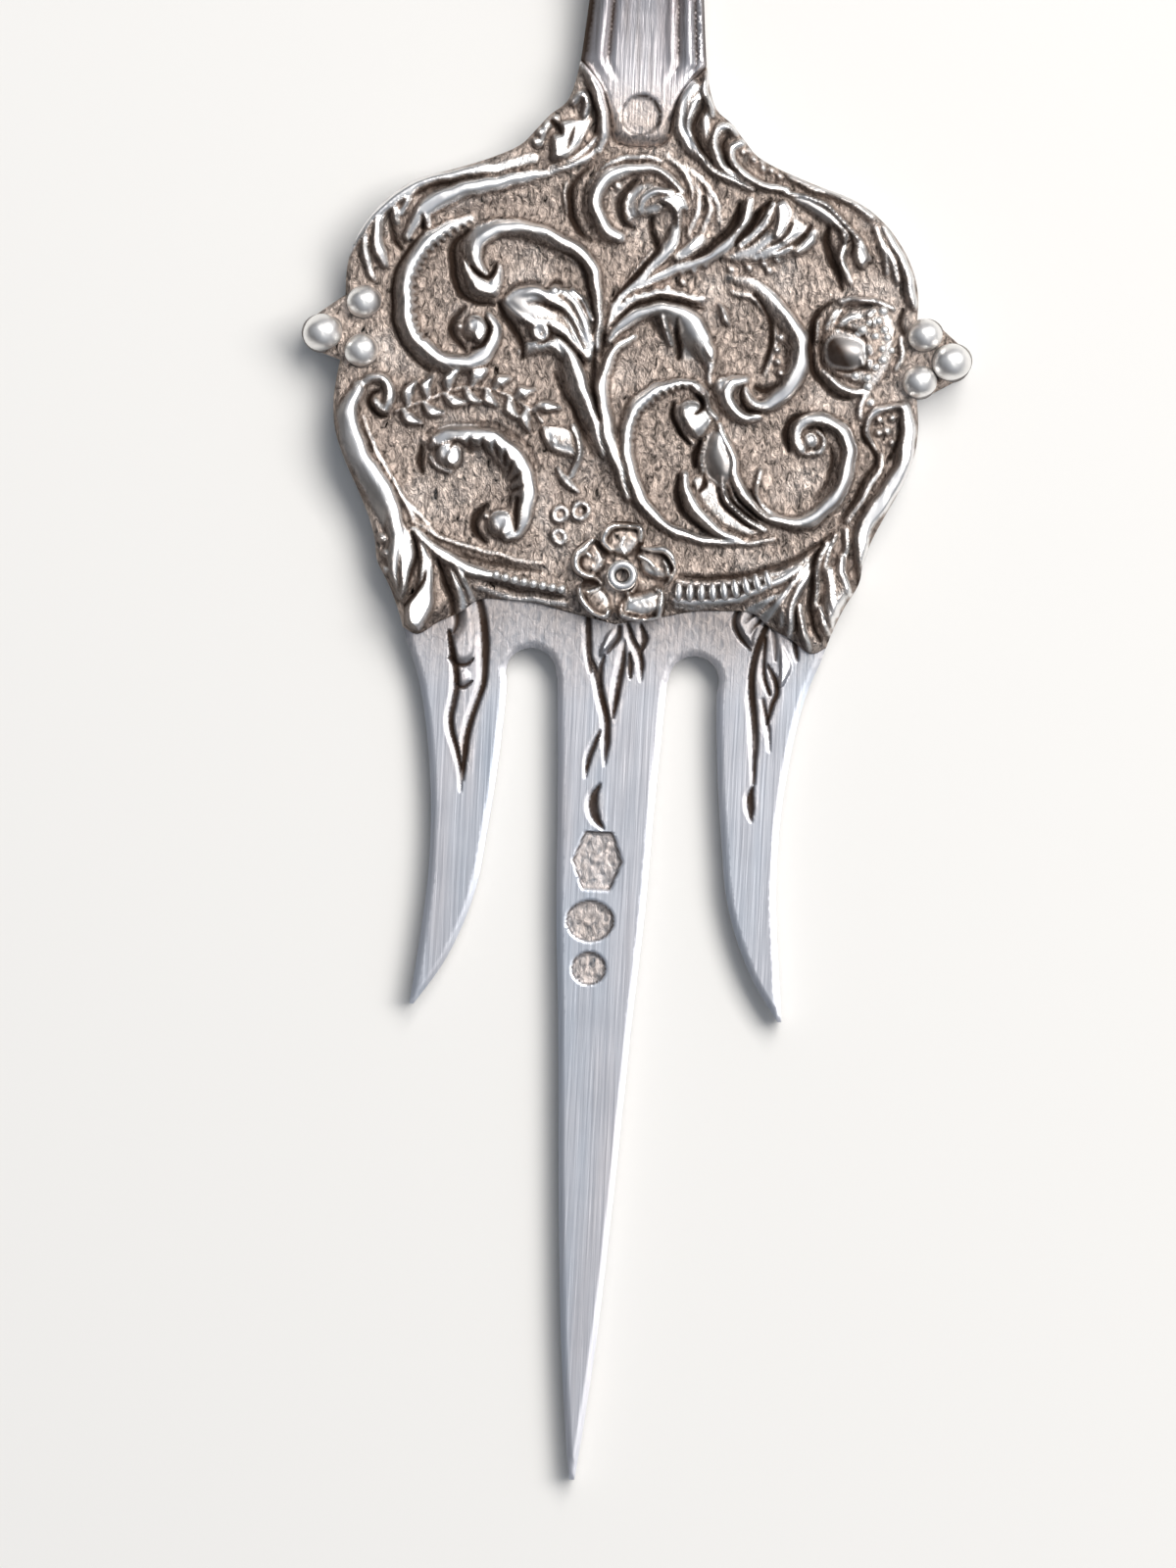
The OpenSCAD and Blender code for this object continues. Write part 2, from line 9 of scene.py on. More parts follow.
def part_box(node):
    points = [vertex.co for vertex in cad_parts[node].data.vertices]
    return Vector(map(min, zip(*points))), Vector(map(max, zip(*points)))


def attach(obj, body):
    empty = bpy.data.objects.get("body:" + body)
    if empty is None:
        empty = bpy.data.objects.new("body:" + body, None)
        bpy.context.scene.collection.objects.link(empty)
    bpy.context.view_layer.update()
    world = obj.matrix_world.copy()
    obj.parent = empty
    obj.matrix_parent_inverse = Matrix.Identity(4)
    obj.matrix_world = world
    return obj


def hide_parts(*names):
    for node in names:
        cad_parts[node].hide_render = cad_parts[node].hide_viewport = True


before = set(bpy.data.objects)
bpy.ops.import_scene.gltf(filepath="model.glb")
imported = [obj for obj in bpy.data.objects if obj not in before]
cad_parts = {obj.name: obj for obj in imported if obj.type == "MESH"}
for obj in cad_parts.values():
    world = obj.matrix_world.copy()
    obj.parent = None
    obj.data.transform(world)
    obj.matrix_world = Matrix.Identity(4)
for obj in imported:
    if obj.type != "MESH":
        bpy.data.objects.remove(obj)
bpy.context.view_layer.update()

# Tine plate: the flat working blade, sawn from hard silver sheet into three tines and filed along its edges.
# The tips of the leaves run down from the ornament and are chased into it, and it is brushed lengthwise.
# All drawing is in millimetres, x across the head and y towards the handle, and meshes are scaled to metres.
MM = 0.001


def node_triangles(node):
    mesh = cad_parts[node].data
    points = np.zeros(len(mesh.vertices) * 3, np.float32)
    mesh.vertices.foreach_get("co", points)
    mesh.calc_loop_triangles()
    corners = np.zeros(len(mesh.loop_triangles) * 3, np.int32)
    mesh.loop_triangles.foreach_get("vertices", corners)
    return points.reshape(-1, 3)[corners.reshape(-1, 3)] / MM


def node_outline(node, level):
    """The longest edge loop of a CAD node's flat face at one level, anticlockwise."""
    triangles = node_triangles(node)
    flat = triangles[np.abs(triangles[:, :, 2] - level).max(1) < 0.002]
    keys = np.round(flat[:, :, :2] * 1000).astype(int)
    follow = {}
    for a, b, c in keys.tolist():
        for p, q in ((a, b), (b, c), (c, a)):
            p, q = tuple(p), tuple(q)
            if (q, p) in follow:
                del follow[(q, p)]
            else:
                follow[(p, q)] = True
    after = dict(follow.keys())
    loops = []
    while after:
        start, point = after.popitem()
        loop = [start]
        while point != start and point in after:
            loop.append(point)
            point = after.pop(point)
        loops.append(np.array(loop) / 1000)
    longest = max(loops, key=lambda loop: np.linalg.norm(loop - np.roll(loop, 1, 0), axis=1).sum())
    x, y = longest.T
    area = np.dot(x, np.roll(y, -1)) - np.dot(y, np.roll(x, -1))
    return longest if area > 0 else longest[::-1]


def resample(loop, step):
    """A closed loop with points at even steps, keeping its sharp corners."""
    made = []
    for p, q in zip(loop, np.roll(loop, -1, 0)):
        length = np.linalg.norm(q - p)
        if length > 1e-4:
            count = max(1, int(round(length / step)))
            made.extend(p + (q - p) * k / count for k in range(count))
    return np.array(made)


def depth_inside(points, loop):
    """Distance of each point from a closed loop of close points, negative outside it."""
    n = len(loop)
    tree = KDTree(n)
    for k, (x, y) in enumerate(loop.tolist()):
        tree.insert((x, y, 0), k)
    tree.balance()
    nearest = np.array([tree.find((x, y, 0))[1] for x, y in points.tolist()], int)
    edge = np.roll(loop, -1, 0) - loop
    left = np.stack([-edge[:, 1], edge[:, 0]], 1) / np.linalg.norm(edge, axis=1, keepdims=True)
    best = np.full(len(points), 1e9)
    inside = np.zeros(len(points), bool)
    for k in (-1, 0):
        i = (nearest + k) % n
        share = ((points - loop[i]) * edge[i]).sum(1) / (edge[i] ** 2).sum(1)
        away = points - loop[i] - np.clip(share, 0, 1)[:, None] * edge[i]
        far = np.linalg.norm(away, axis=1)
        facing = np.where(share[:, None] > 1, left[i] + left[(i + 1) % n], left[i])
        facing = np.where(share[:, None] < 0, left[i] + left[i - 1], facing)
        closer = far < best
        inside = np.where(closer, (away * facing).sum(1) > 0, inside)
        best = np.where(closer, far, best)
    return np.where(inside, best, -best)


def inward(loop):
    """Unit normals of an anticlockwise loop, pointing into it."""
    along = np.roll(loop, -1, 0) - np.roll(loop, 1, 0)
    normal = np.stack([-along[:, 1], along[:, 0]], 1)
    return normal / np.maximum(np.linalg.norm(normal, axis=1, keepdims=True), 1e-9)


def smooth_path(points, step=0.12):
    """A smooth curve through given points, sampled at about even steps."""
    p = np.array(points, float)
    if len(p) == 2:
        p = np.array([p[0], p.mean(0), p[1]])
    ends = np.concatenate([[2 * p[0] - p[1]], p, [2 * p[-1] - p[-2]]])
    made = []
    for a, b, c, d in zip(ends[:-3], ends[1:-2], ends[2:-1], ends[3:]):
        count = max(2, int(np.linalg.norm(c - b) / step))
        t = (np.arange(count) / count)[:, None]
        curve = (c - a) + t * ((2 * a - 5 * b + 4 * c - d) + t * (3 * (b - c) + d - a))
        made.append(b + 0.5 * t * curve)
    return np.concatenate(made + [p[-1:]])


# For all chasing: the window's side in plan, the slope of a crown tipped to it, the unit of strokes, no metal
WINDOW_SIDE = (0.82, 0.57)
CROWN_SLOPE = 0.36
HUNDREDTHS = 100
BARE = -1e3


class Relief:
    """A chased surface: heights over a plan, worked stroke by stroke as with punches.

    Paths, outlines and centres are in millimetres. Widths, heights and depths of strokes are in hundredths
    of a millimetre.
    """

    def __init__(self, low, high, step, wander=0.0):
        self.low = np.array(low, float)
        self.step = step
        self.wander = wander
        columns, rows = np.ceil((np.array(high) - self.low) / step).astype(int) + 1
        self.x = self.low[0] + step * np.arange(columns)
        self.y = self.low[1] + step * np.arange(rows)
        self.height = np.zeros((rows, columns))
        self.carved_and_painted_shade = np.zeros((rows, columns))

    def window(self, points, margin):
        """The part of the plan round a stroke, as slices with coordinates that wander as a hand does."""
        low = np.maximum((points.min(0) - margin - self.low) / self.step, 0).astype(int)
        high = np.maximum((points.max(0) + margin - self.low) / self.step + 2, 0).astype(int)
        part = (slice(low[1], high[1]), slice(low[0], high[0]))
        x, y = np.meshgrid(self.x[part[1]], self.y[part[0]])
        along_x = np.sin(2.9 * y + 0.8 * x + 1) + 0.6 * np.sin(5.3 * y - 1.9 * x)
        along_y = np.sin(3.1 * x - 0.7 * y + 2) + 0.6 * np.sin(5.7 * x + 1.6 * y)
        return part, np.stack([x + self.wander * along_x, y + self.wander * along_y], 2)

    def across(self, path, plan):
        """Distance across a path, positive on its left, length along it and offset to the window's side."""
        flat = plan.reshape(-1, 2)
        nearest = np.zeros(len(flat), int)
        chunk = 20000
        for k in range(0, len(flat), chunk):
            gap = flat[k:k + chunk, None, :] - path[None]
            nearest[k:k + chunk] = (gap[:, :, 0] ** 2 + gap[:, :, 1] ** 2).argmin(1)
        length = np.concatenate([[0], np.linalg.norm(np.diff(path, axis=0), axis=1).cumsum()])
        best = np.full(len(flat), 1e9)
        side, run, lean = np.zeros((3, len(flat)))
        for k in (-1, 0):
            i = np.clip(nearest + k, 0, len(path) - 2)
            a, edge = path[i], path[i + 1] - path[i]
            t = np.clip(((flat - a) * edge).sum(1) / (edge ** 2).sum(1), 0, 1)
            away = flat - a - t[:, None] * edge
            far = np.linalg.norm(away, axis=1)
            turn = edge[:, 0] * away[:, 1] - edge[:, 1] * away[:, 0]
            closer = far < best
            best = np.where(closer, far, best)
            side = np.where(closer, np.where(turn < 0, -far, far), side)
            run = np.where(closer, length[i] + t * (length[i + 1] - length[i]), run)
            size = np.linalg.norm(edge, axis=1)
            lit = (edge[:, 0] * WINDOW_SIDE[1] - edge[:, 1] * WINDOW_SIDE[0]) / size
            lean = np.where(closer, np.clip(lit / 0.4, -1, 1) * turn / size, lean)
        shape = plan.shape[:2]
        return side.reshape(shape), run.reshape(shape), length[-1], lean.reshape(shape)

    def join(self, part, new, blend=5):
        """Raises the work to a new height, with a small fillet where the two meet."""
        blend = blend / HUNDREDTHS
        old = self.height[part]
        near = np.maximum(0, 1 - np.abs(old - new) / blend)
        self.height[part] = np.maximum(old, new) + blend * near ** 2 / 4

    def stroke(self, points, reach, *values):
        """The part of the plan round a stroke, what across gives there, and values spread along it."""
        path = smooth_path(points)
        part, plan = self.window(path, reach / HUNDREDTHS + 2 * self.step)
        side, run, length, lean = self.across(path, plan)
        share = run / length
        spread = [np.interp(share, np.linspace(0, 1, np.size(v)), np.ravel(v) / HUNDREDTHS) for v in values]
        return part, side, run, share, lean, spread

    def ridge(self, points, left, right, tall, crown=0, bow=(1.6, 1.6), base=0, teeth=None):
        """A raised stroke. Its crown follows the points, tips to the window and falls over two reaches.

        Bow rounds each slope. Teeth scallop one side: their pitch in millimetres, their bite, the side, and
        the share of the stroke that has them.
        """
        widest = max(np.max(left), np.max(right))
        part, side, run, share, lean, spread = self.stroke(points, widest, left, right, tall, crown)
        near, far, top, flat = spread
        away = np.abs(side)
        reach = np.where(side > 0, near, far) * (1 - 0.3 * np.clip(lean / np.maximum(away, 1e-6), 0, 1))
        flat = np.minimum(0.4 * flat, 0.8 * reach)
        if teeth:
            pitch, bite, where, until = teeth
            wave = 0.5 - 0.5 * np.cos(2 * np.pi * (run + 0.05 * np.sin(4 * run)) / pitch)
            bitten = np.where((side * where > 0) & (share < until), 1 - bite * wave, 1)
            reach, flat = reach * bitten, flat * bitten
        tip = -CROWN_SLOPE * lean * np.minimum(1, flat / np.maximum(away, 1e-6))
        u = np.clip((away - flat) / np.maximum(reach - flat, 1e-3), 0, 1)
        fall = 1 - u ** np.where(side > 0, bow[0], bow[1])
        self.join(part, np.where(away < reach, base / HUNDREDTHS + (top + tip) * fall, BARE))

    def band(self, points, wide, tall):
        """A plain raised stroke of one width, or of several along its length."""
        half = np.array(wide) / 2
        self.ridge(points, half, half, tall, half)

    def shape(self, outline, margin):
        """The part of the plan round a closed outline, with each point's depth inside it."""
        path = smooth_path(list(outline) + [outline[0]])
        part, plan = self.window(path, margin)
        x, y = plan[..., 0], plan[..., 1]
        inside = np.zeros(x.shape, bool)
        for (ax, ay), (bx, by) in zip(path[:-1], path[1:]):
            inside ^= ((ay > y) != (by > y)) & (x < ax + (y - ay) * (bx - ax) / (by - ay + 1e-12))
        far = np.abs(self.across(path, plan)[0])
        lean = (plan - path.mean(0)) @ np.array(WINDOW_SIDE)
        return part, np.where(inside, far, -far), lean

    def leaf(self, outline, tall, edge, tilt=0.0, blend=5):
        """A broad leaf inside an outline, rising over its edge to a crown that may tip to the window."""
        part, depth, lean = self.shape(outline, 2 * self.step)
        rise = 1 - (1 - np.clip(depth * HUNDREDTHS / edge, 0, 1)) ** 2
        crown = tall / HUNDREDTHS - CROWN_SLOPE * tilt * lean
        self.join(part, np.where(depth > 0, crown * rise, BARE), blend)

    def clear(self, outline, room):
        """Beats the work down inside an outline, for a piece that sits there."""
        room = room / HUNDREDTHS
        part, depth, _ = self.shape(outline, room + 2 * self.step)
        self.height[part] *= np.clip(-depth / room, 0, 1)

    def ball(self, centre, size, tall, base=0):
        """A round boss."""
        part, plan = self.window(np.array([centre], float), size / HUNDREDTHS)
        far = np.linalg.norm(plan - np.array(centre), axis=2) * HUNDREDTHS / (size / 2)
        new = (base + tall * (1 - far ** 2.4)) / HUNDREDTHS
        self.join(part, np.where(far < 1, new, BARE))

    def ring(self, centre, size, wide, tall, base=0):
        """A small ring left by a round punch."""
        part, plan = self.window(np.array([centre], float), (size + wide) / HUNDREDTHS)
        u = (np.linalg.norm(plan - np.array(centre), axis=2) * HUNDREDTHS - size / 2) / (wide / 2)
        self.join(part, np.where(np.abs(u) < 1, (base + tall * (1 - u ** 2)) / HUNDREDTHS, BARE), 3)

    def cut(self, points, wide, deep):
        """A chased line, round in its floor."""
        part, side, _, _, _, (across, depth) = self.stroke(points, np.max(wide) / 2, wide, deep)
        u = side / np.maximum(across / 2, 1e-3)
        depth = depth * (1 - np.clip(np.abs(u), 0, 1) ** 2)
        self.height[part] -= depth
        self.carved_and_painted_shade[part] = np.maximum(self.carved_and_painted_shade[part], depth)

    def graved(self, points, lit, dark, deep=16):
        """A line cut with a slanted graver: a long lit wall, and a steep wall on the window's side painted as
        shade.
        """
        widest = max(np.max(lit), np.max(dark))
        part, side, _, _, lean, (lip, wall) = self.stroke(points, widest, lit, dark)
        lip, wall = lip + 1e-3, wall + 1e-3
        toward = np.sign(lean) * np.abs(side)
        floor = np.minimum(deep / HUNDREDTHS, wall)
        down = np.where(toward < 0, CROWN_SLOPE * (toward + lip), floor * (1 - (toward / wall) ** 3))
        self.height[part] -= np.clip(down, 0, None)
        # Painted shade: the steep wall facing away from the window is recorded here, so it is coloured dark.
        shade = np.where(toward > -self.step / 2, floor * np.clip(1.2 - (toward / wall) ** 4, 0, 1), 0)
        self.carved_and_painted_shade[part] = np.maximum(self.carved_and_painted_shade[part], shade)

    def blurred(self, field, size):
        """A field spread over about that many millimetres, one value or one each for x and y."""
        for axis, spread in ((0, np.atleast_1d(size)[-1]), (1, np.atleast_1d(size)[0])):
            reach = int(np.ceil(2.5 * spread / self.step))
            weight = np.exp(-0.5 * (np.arange(-reach, reach + 1) * self.step / spread) ** 2)
            weight /= weight.sum()
            padded = np.pad(field, [(reach, reach) if a == axis else (0, 0) for a in (0, 1)], mode="edge")
            rows, columns = field.shape
            if axis == 0:
                field = sum(w * padded[k:k + rows] for k, w in enumerate(weight))
            else:
                field = sum(w * padded[:, k:k + columns] for k, w in enumerate(weight))
        return field

    def grain(self, size, amount, seed):
        """Matting from a small punch, the same on each run."""
        noise = self.blurred(np.random.default_rng(seed).standard_normal(self.height.shape), size)
        return amount * noise / noise.std()

    def at(self, field, points):
        """A field's values at points of the plan."""
        u = (points - self.low) / self.step
        limit = np.array([len(self.x), len(self.y)]) - 1.001
        u = np.clip(u, 0, limit)
        i, j = u.astype(int).T
        fx, fy = (u - u.astype(int)).T
        lower = field[j, i] * (1 - fx) + field[j, i + 1] * fx
        upper = field[j + 1, i] * (1 - fx) + field[j + 1, i + 1] * fx
        return lower * (1 - fy) + upper * fy


def solid_mesh(name, points, faces, values, sharp_angle=0.7):
    """A plain mesh in metres from points in millimetres, with one value per point for each named finish."""
    mesh = bpy.data.meshes.new(name)
    mesh.from_pydata((np.asarray(points) * MM).tolist(), [], [list(f) for f in faces])
    mesh.validate()
    for key, value in values.items():
        mesh.attributes.new(key, "FLOAT", "POINT").data.foreach_set("value", np.asarray(value, np.float32))
    mesh.shade_smooth()
    mesh.set_sharp_from_angle(angle=sharp_angle)
    piece = bpy.data.objects.new(name, mesh)
    bpy.context.scene.collection.objects.link(piece)
    return piece


def slab(name, loop, bands, rings, top, bottom, values, under=0.1, sharp_angle=0.7):
    """A flat solid inside a loop: worked top, upright wall and plain back, with the back's edge broken.

    Bands give the lattice step from one y to the next, and rings the distances of edge rows from the loop.
    """
    n = len(loop)
    normal = inward(loop)
    edge_rows = [loop + normal * r for r in rings]
    free = [row[depth_inside(row, loop) > r * 0.93] for r, row in zip(rings, edge_rows)]
    for low, high, step in bands:
        y = np.arange(low, high, step * 0.87)
        x = np.arange(loop[:, 0].min(), loop[:, 0].max(), step)
        px, py = np.meshgrid(x, y)
        px = px + step / 2 * (np.arange(len(y)) % 2)[:, None]
        lattice = np.stack([px.ravel(), py.ravel()], 1)
        free.append(lattice[depth_inside(lattice, loop) > max(rings) + step * 0.55])
    plan = np.concatenate([loop] + free)
    border = [(k, (k + 1) % n) for k in range(n)]
    made = delaunay_2d_cdt(plan.tolist(), border, [], 1, 1e-6)
    plan = np.array([tuple(p) for p in made[0]])
    origin = {old: new for new, olds in enumerate(made[3]) for old in olds}
    rim = [origin[k] for k in range(n)]
    depth = np.maximum(depth_inside(plan, loop), 0)
    height = top(plan, depth)
    points = [np.column_stack([plan, height])]
    inner = loop + normal * under
    middle = bottom(loop) + under
    points.append(np.column_stack([loop, np.minimum(middle, height[rim] - 0.02)]))
    points.append(np.column_stack([inner, bottom(inner)]))
    wall, back = len(plan), len(plan) + n
    faces = list(made[2])
    for k in range(n):
        j = (k + 1) % n
        faces.append((rim[j], rim[k], wall + k, wall + j))
        faces.append((wall + j, wall + k, back + k, back + j))
    closing = delaunay_2d_cdt(inner.tolist(), border, [], 1, 1e-6)
    same = {new: olds[0] for new, olds in enumerate(closing[3])}
    whole = [f for f in closing[2] if len({same[v] for v in f}) == 3]
    faces += [tuple(back + same[v] for v in reversed(f)) for f in whole]
    finish = {key: np.concatenate([f(plan), np.full(2 * n, side)]) for key, (f, side) in values.items()}
    return solid_mesh(name, np.concatenate(points), faces, finish, sharp_angle)


def node_group(name, kind, inputs, outputs):
    """A new node group, with the sockets of its two end nodes. A value of None leaves an input open."""
    group = bpy.data.node_groups.new(name, kind)
    for label, socket_kind, value in inputs:
        socket = group.interface.new_socket(label, in_out="INPUT", socket_type="NodeSocket" + socket_kind)
        if value is not None:
            socket.default_value = value
    for label, socket_kind in outputs:
        group.interface.new_socket(label, in_out="OUTPUT", socket_type="NodeSocket" + socket_kind)
    return group, group.nodes.new("NodeGroupInput").outputs, group.nodes.new("NodeGroupOutput").inputs


def add_node(tree, kind, settings=None, **sockets):
    """A node with its settings and its sockets, by name or as i0, i1. Each takes a value or an output."""
    node = tree.nodes.new(kind)
    for key, value in (settings or {}).items():
        setattr(node, key, value)
    for key, value in sockets.items():
        numbered = key[0] == "i" and key[1:].isdigit()
        socket = node.inputs[int(key[1:]) if numbered else key.replace("_", " ")]
        if isinstance(value, bpy.types.NodeSocket):
            tree.links.new(value, socket)
        else:
            socket.default_value = value
    return node


def math_node(tree, operation, a, b, c=0.0, clamp=False):
    settings = {"operation": operation, "use_clamp": clamp}
    return add_node(tree, "ShaderNodeMath", settings, i0=a, i1=b, i2=c).outputs[0]


def mix_colour(tree, share, a, b):
    return add_node(tree, "ShaderNodeMix", {"data_type": "RGBA"}, i0=share, i6=a, i7=b).outputs[2]


def tarnished_silver():
    """Old silver: bright where it is rubbed, brown on matted ground, near black in the recesses and where
    shade is painted.
    """
    group, given, put = node_group(
        "old_silver",
        "ShaderNodeTree",
        [
            ("Ground", "Float", 0.0),
            ("Recess", "Float", 0.0),
            ("Bright", "Color", (0.93, 0.91, 0.88, 1)),
            ("Matted", "Color", (0.385, 0.32, 0.28, 1)),
            ("Deep", "Color", (0.075, 0.05, 0.038, 1)),
            ("Polish", "Float", 0.2),
        ],
        [("Color", "Color"), ("Roughness", "Float"), ("Height", "Float")],
    )
    place = add_node(group, "ShaderNodeTexCoord").outputs["Object"]
    cloud = add_node(group, "ShaderNodeTexNoise", Vector=place, Scale=420.0, Detail=4.0).outputs["Fac"]
    drawn = add_node(group, "ShaderNodeMapping", Vector=place, Scale=(1.0, 0.55, 1.0)).outputs[0]
    fine = add_node(
        group, "ShaderNodeTexNoise", Vector=drawn, Scale=4200.0, Detail=3.0, Roughness=0.6, Distortion=0.8
    ).outputs["Fac"]
    patch = math_node(group, "MULTIPLY_ADD", cloud, 0.7, 0.65)
    ground = math_node(group, "MULTIPLY", given["Ground"], patch, clamp=True)
    recess = math_node(group, "MULTIPLY", given["Recess"], patch, clamp=True)
    speck = math_node(group, "MULTIPLY_ADD", fine, 4.4, -1.2)
    scaled = {"operation": "SCALE"}
    shade = add_node(group, "ShaderNodeVectorMath", scaled, i0=given["Matted"], Scale=speck).outputs[0]
    base = mix_colour(group, ground, given["Bright"], shade)
    colour = mix_colour(group, recess, base, given["Deep"])
    dull = math_node(group, "MULTIPLY_ADD", ground, 0.22, given["Polish"])
    duller = math_node(group, "MULTIPLY_ADD", recess, 0.3, dull)
    rough = math_node(group, "MULTIPLY_ADD", cloud, 0.12, duller)
    group.links.new(colour, put["Color"])
    group.links.new(rough, put["Roughness"])
    group.links.new(math_node(group, "MULTIPLY", fine, ground), put["Height"])
    return group


def brush_marks():
    """Fine streaks along the fork from the last polishing, with a faint film of colour."""
    outputs = [("Streak", "Float"), ("Film", "Float")]
    group, given, put = node_group("brush_marks", "ShaderNodeTree", [("Spread", "Float", 1.0)], outputs)
    place = add_node(group, "ShaderNodeTexCoord").outputs["Object"]
    drawn = add_node(group, "ShaderNodeMapping", Vector=place, Scale=(1.0, 0.025, 1.0)).outputs[0]
    wide = add_node(group, "ShaderNodeMapping", Vector=place, Scale=(1.0, 0.12, 1.0)).outputs[0]
    streak = add_node(group, "ShaderNodeTexNoise", Vector=drawn, Scale=7000.0, Detail=3.0).outputs["Fac"]
    film = add_node(group, "ShaderNodeTexNoise", Vector=wide, Scale=620.0, Detail=3.0).outputs["Fac"]
    group.links.new(math_node(group, "MULTIPLY", streak, given["Spread"]), put["Streak"])
    group.links.new(film, put["Film"])
    return group


OLD_SILVER = tarnished_silver()
BRUSH_MARKS = brush_marks()


def new_material(name):
    material = bpy.data.materials.new(name)
    material.use_nodes = True
    return material, material.node_tree, material.node_tree.nodes["Principled BSDF"]


def silver(name, polish, bright, film, streak_depth, grain_depth):
    """A silver finish that reads a piece's own ground and recess values."""
    material, tree, shader = new_material(name)
    shader.inputs["Metallic"].default_value = 1.0
    ground = add_node(tree, "ShaderNodeAttribute", {"attribute_name": "ground"}).outputs["Fac"]
    recess = add_node(tree, "ShaderNodeAttribute", {"attribute_name": "recess"}).outputs["Fac"]
    marks = add_node(tree, "ShaderNodeGroup", {"node_tree": BRUSH_MARKS})
    tinted = mix_colour(tree, marks.outputs["Film"], bright, film)
    values = {"Ground": ground, "Recess": recess, "Bright": tinted, "Polish": polish}
    old = add_node(tree, "ShaderNodeGroup", {"node_tree": OLD_SILVER}, **values)
    tree.links.new(old.outputs["Color"], shader.inputs["Base Color"])
    rough = math_node(tree, "MULTIPLY_ADD", marks.outputs["Streak"], 0.14, old.outputs["Roughness"])
    tree.links.new(rough, shader.inputs["Roughness"])
    streaks = math_node(tree, "MULTIPLY", marks.outputs["Streak"], streak_depth)
    heights = math_node(tree, "MULTIPLY_ADD", old.outputs["Height"], grain_depth, streaks)
    bump = add_node(tree, "ShaderNodeBump", Height=heights, Distance=MM)
    tree.links.new(bump.outputs["Normal"], shader.inputs["Normal"])
    return material


def finish_piece(piece, material, slot, *nodes):
    """Coats a piece, hangs it on the root body and hides the solids it stands for. The slot is not used."""
    piece.data.materials.clear()
    piece.data.materials.append(material)
    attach(piece, "root")
    if nodes:
        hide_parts(*nodes)


PLATE_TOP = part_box("tine_plate")[1].z / MM
EDGE_BEVEL = 0.24
EDGE_DROP = 0.085
plate_loop = resample(node_outline("tine_plate", 0.0), 0.22)
plate_work = Relief((-14, -31), (14, -8), 0.05)
leaf, cut, graved = plate_work.leaf, plate_work.cut, plate_work.graved

# Left pendant leaf, its smooth body low and its outline graved
leaf([(-7, -10.4), (-6.7, -11.2), (-6.4, -12.2), (-6.3, -13.4), (-6.4, -13.9), (-6.8, -14.15), (-7.2, -14),
      (-7.45, -13.5), (-7.3, -13.1), (-7, -12.6), (-6.95, -12), (-7.1, -11.2)], 12, 30, tilt=0.1)
leaf([(-7, -14.6), (-6.7, -14.5), (-6.45, -14.7), (-6.5, -15), (-6.8, -15.15), (-7, -15)], 8, 20)
graved([(-7.05, -10), (-6.7, -10.7), (-6.35, -11.3), (-6.15, -12), (-6, -13), (-5.92, -14), (-5.9, -15),
        (-6.1, -15.8), (-6.4, -16.8), (-6.55, -17.6), (-6.6, -18.5), (-6.55, -19.5)],
       (20, 26, 28, 28, 28, 26, 22, 10), (10, 28, 36, 36, 26, 22, 26, 26, 8))
graved([(-7.55, -12.9), (-7.4, -13.8), (-7.2, -14.5), (-7.12, -15.3), (-7.2, -16), (-7.3, -16.7),
        (-7.2, -17.4), (-6.95, -18.1), (-6.7, -19), (-6.6, -20)], (4, 8, 20, 24, 24, 24, 22, 20, 16, 10),
       (20, 30, 26, 24, 24, 24, 22, 16, 10, 5))
cut([(-7.4, -14), (-7.05, -14.28), (-6.6, -14.25), (-6.35, -14)], (20, 26, 20, 10), 16)
cut([(-7, -15.25), (-6.7, -15.3), (-6.35, -15)], (26, 20, 10), 16)
cut([(-8, -10), (-7.6, -10.8), (-7.3, -11.5), (-7.15, -12.3), (-7.3, -12.9)], (20, 40, 44, 42, 15), 14)
# Right pendant leaf, with a small lobe over its shoulder
leaf([(6.9, -10.6), (6, -10.9), (5.62, -11.3), (5.52, -11.8), (5.8, -12.3), (6.28, -12.8), (6.35, -12.3),
      (6.55, -11.8), (7, -11.3)], 16, 16, tilt=0.6)
cut([(5.75, -10.9), (5.45, -11.4), (5.42, -11.85), (5.7, -12.4), (6.2, -12.95)], (10, 26, 32, 26, 10), 16)
graved([(6.8, -10.9), (6.2, -11.35), (5.85, -11.75)], (14, 30, 12), (8, 16, 6))
graved([(6.9, -11.2), (6.4, -11.75), (6.1, -12.2)], (14, 30, 12), (8, 16, 6))
leaf([(7.5, -12.5), (7.9, -13.1), (8.1, -13.6), (7.9, -14.2), (7.6, -14.6), (7.55, -13.8)], 16, 12, tilt=0.8)
graved([(6.85, -11.6), (6.5, -12.5), (6.3, -13.3), (6.2, -14.1), (6.25, -15), (6.4, -16), (6.52, -17),
        (6.58, -18), (6.62, -19)], (5, 6, 8, 12, 22, 24, 24, 18, 14), (25, 30, 30, 30, 30, 28, 26, 16, 10))
graved([(6.8, -12.4), (6.78, -13.4), (6.85, -14.2), (7.1, -14.9)], (12, 22, 24, 10), 14)
cut([(7, -13.6), (7.4, -14.3), (7.48, -14.9), (7.3, -15.4), (7.12, -16.3)], (12, 28, 28, 26, 10), 16)
graved([(6.85, -15.2), (7.02, -15.9), (7.18, -16.6), (7.28, -17.5)], (12, 22, 20, 10), (10, 14, 10, 5))
graved([(7.98, -11), (7.95, -11.6), (8.08, -12.4), (8.3, -13.3)], (20, 24, 24, 12), (20, 24, 24, 10))
graved([(8.5, -11.2), (8.62, -12), (8.88, -12.8)], (20, 24, 12), (12, 14, 8))
cut([(7.15, -11.8), (7.3, -12.6), (7.35, -13.4)], (20, 30, 10), 10)
graved([(6.6, -19.1), (6.42, -19.6), (6.45, -20.1), (6.6, -20.7)], (10, 22, 22, 10), (8, 30, 30, 8))
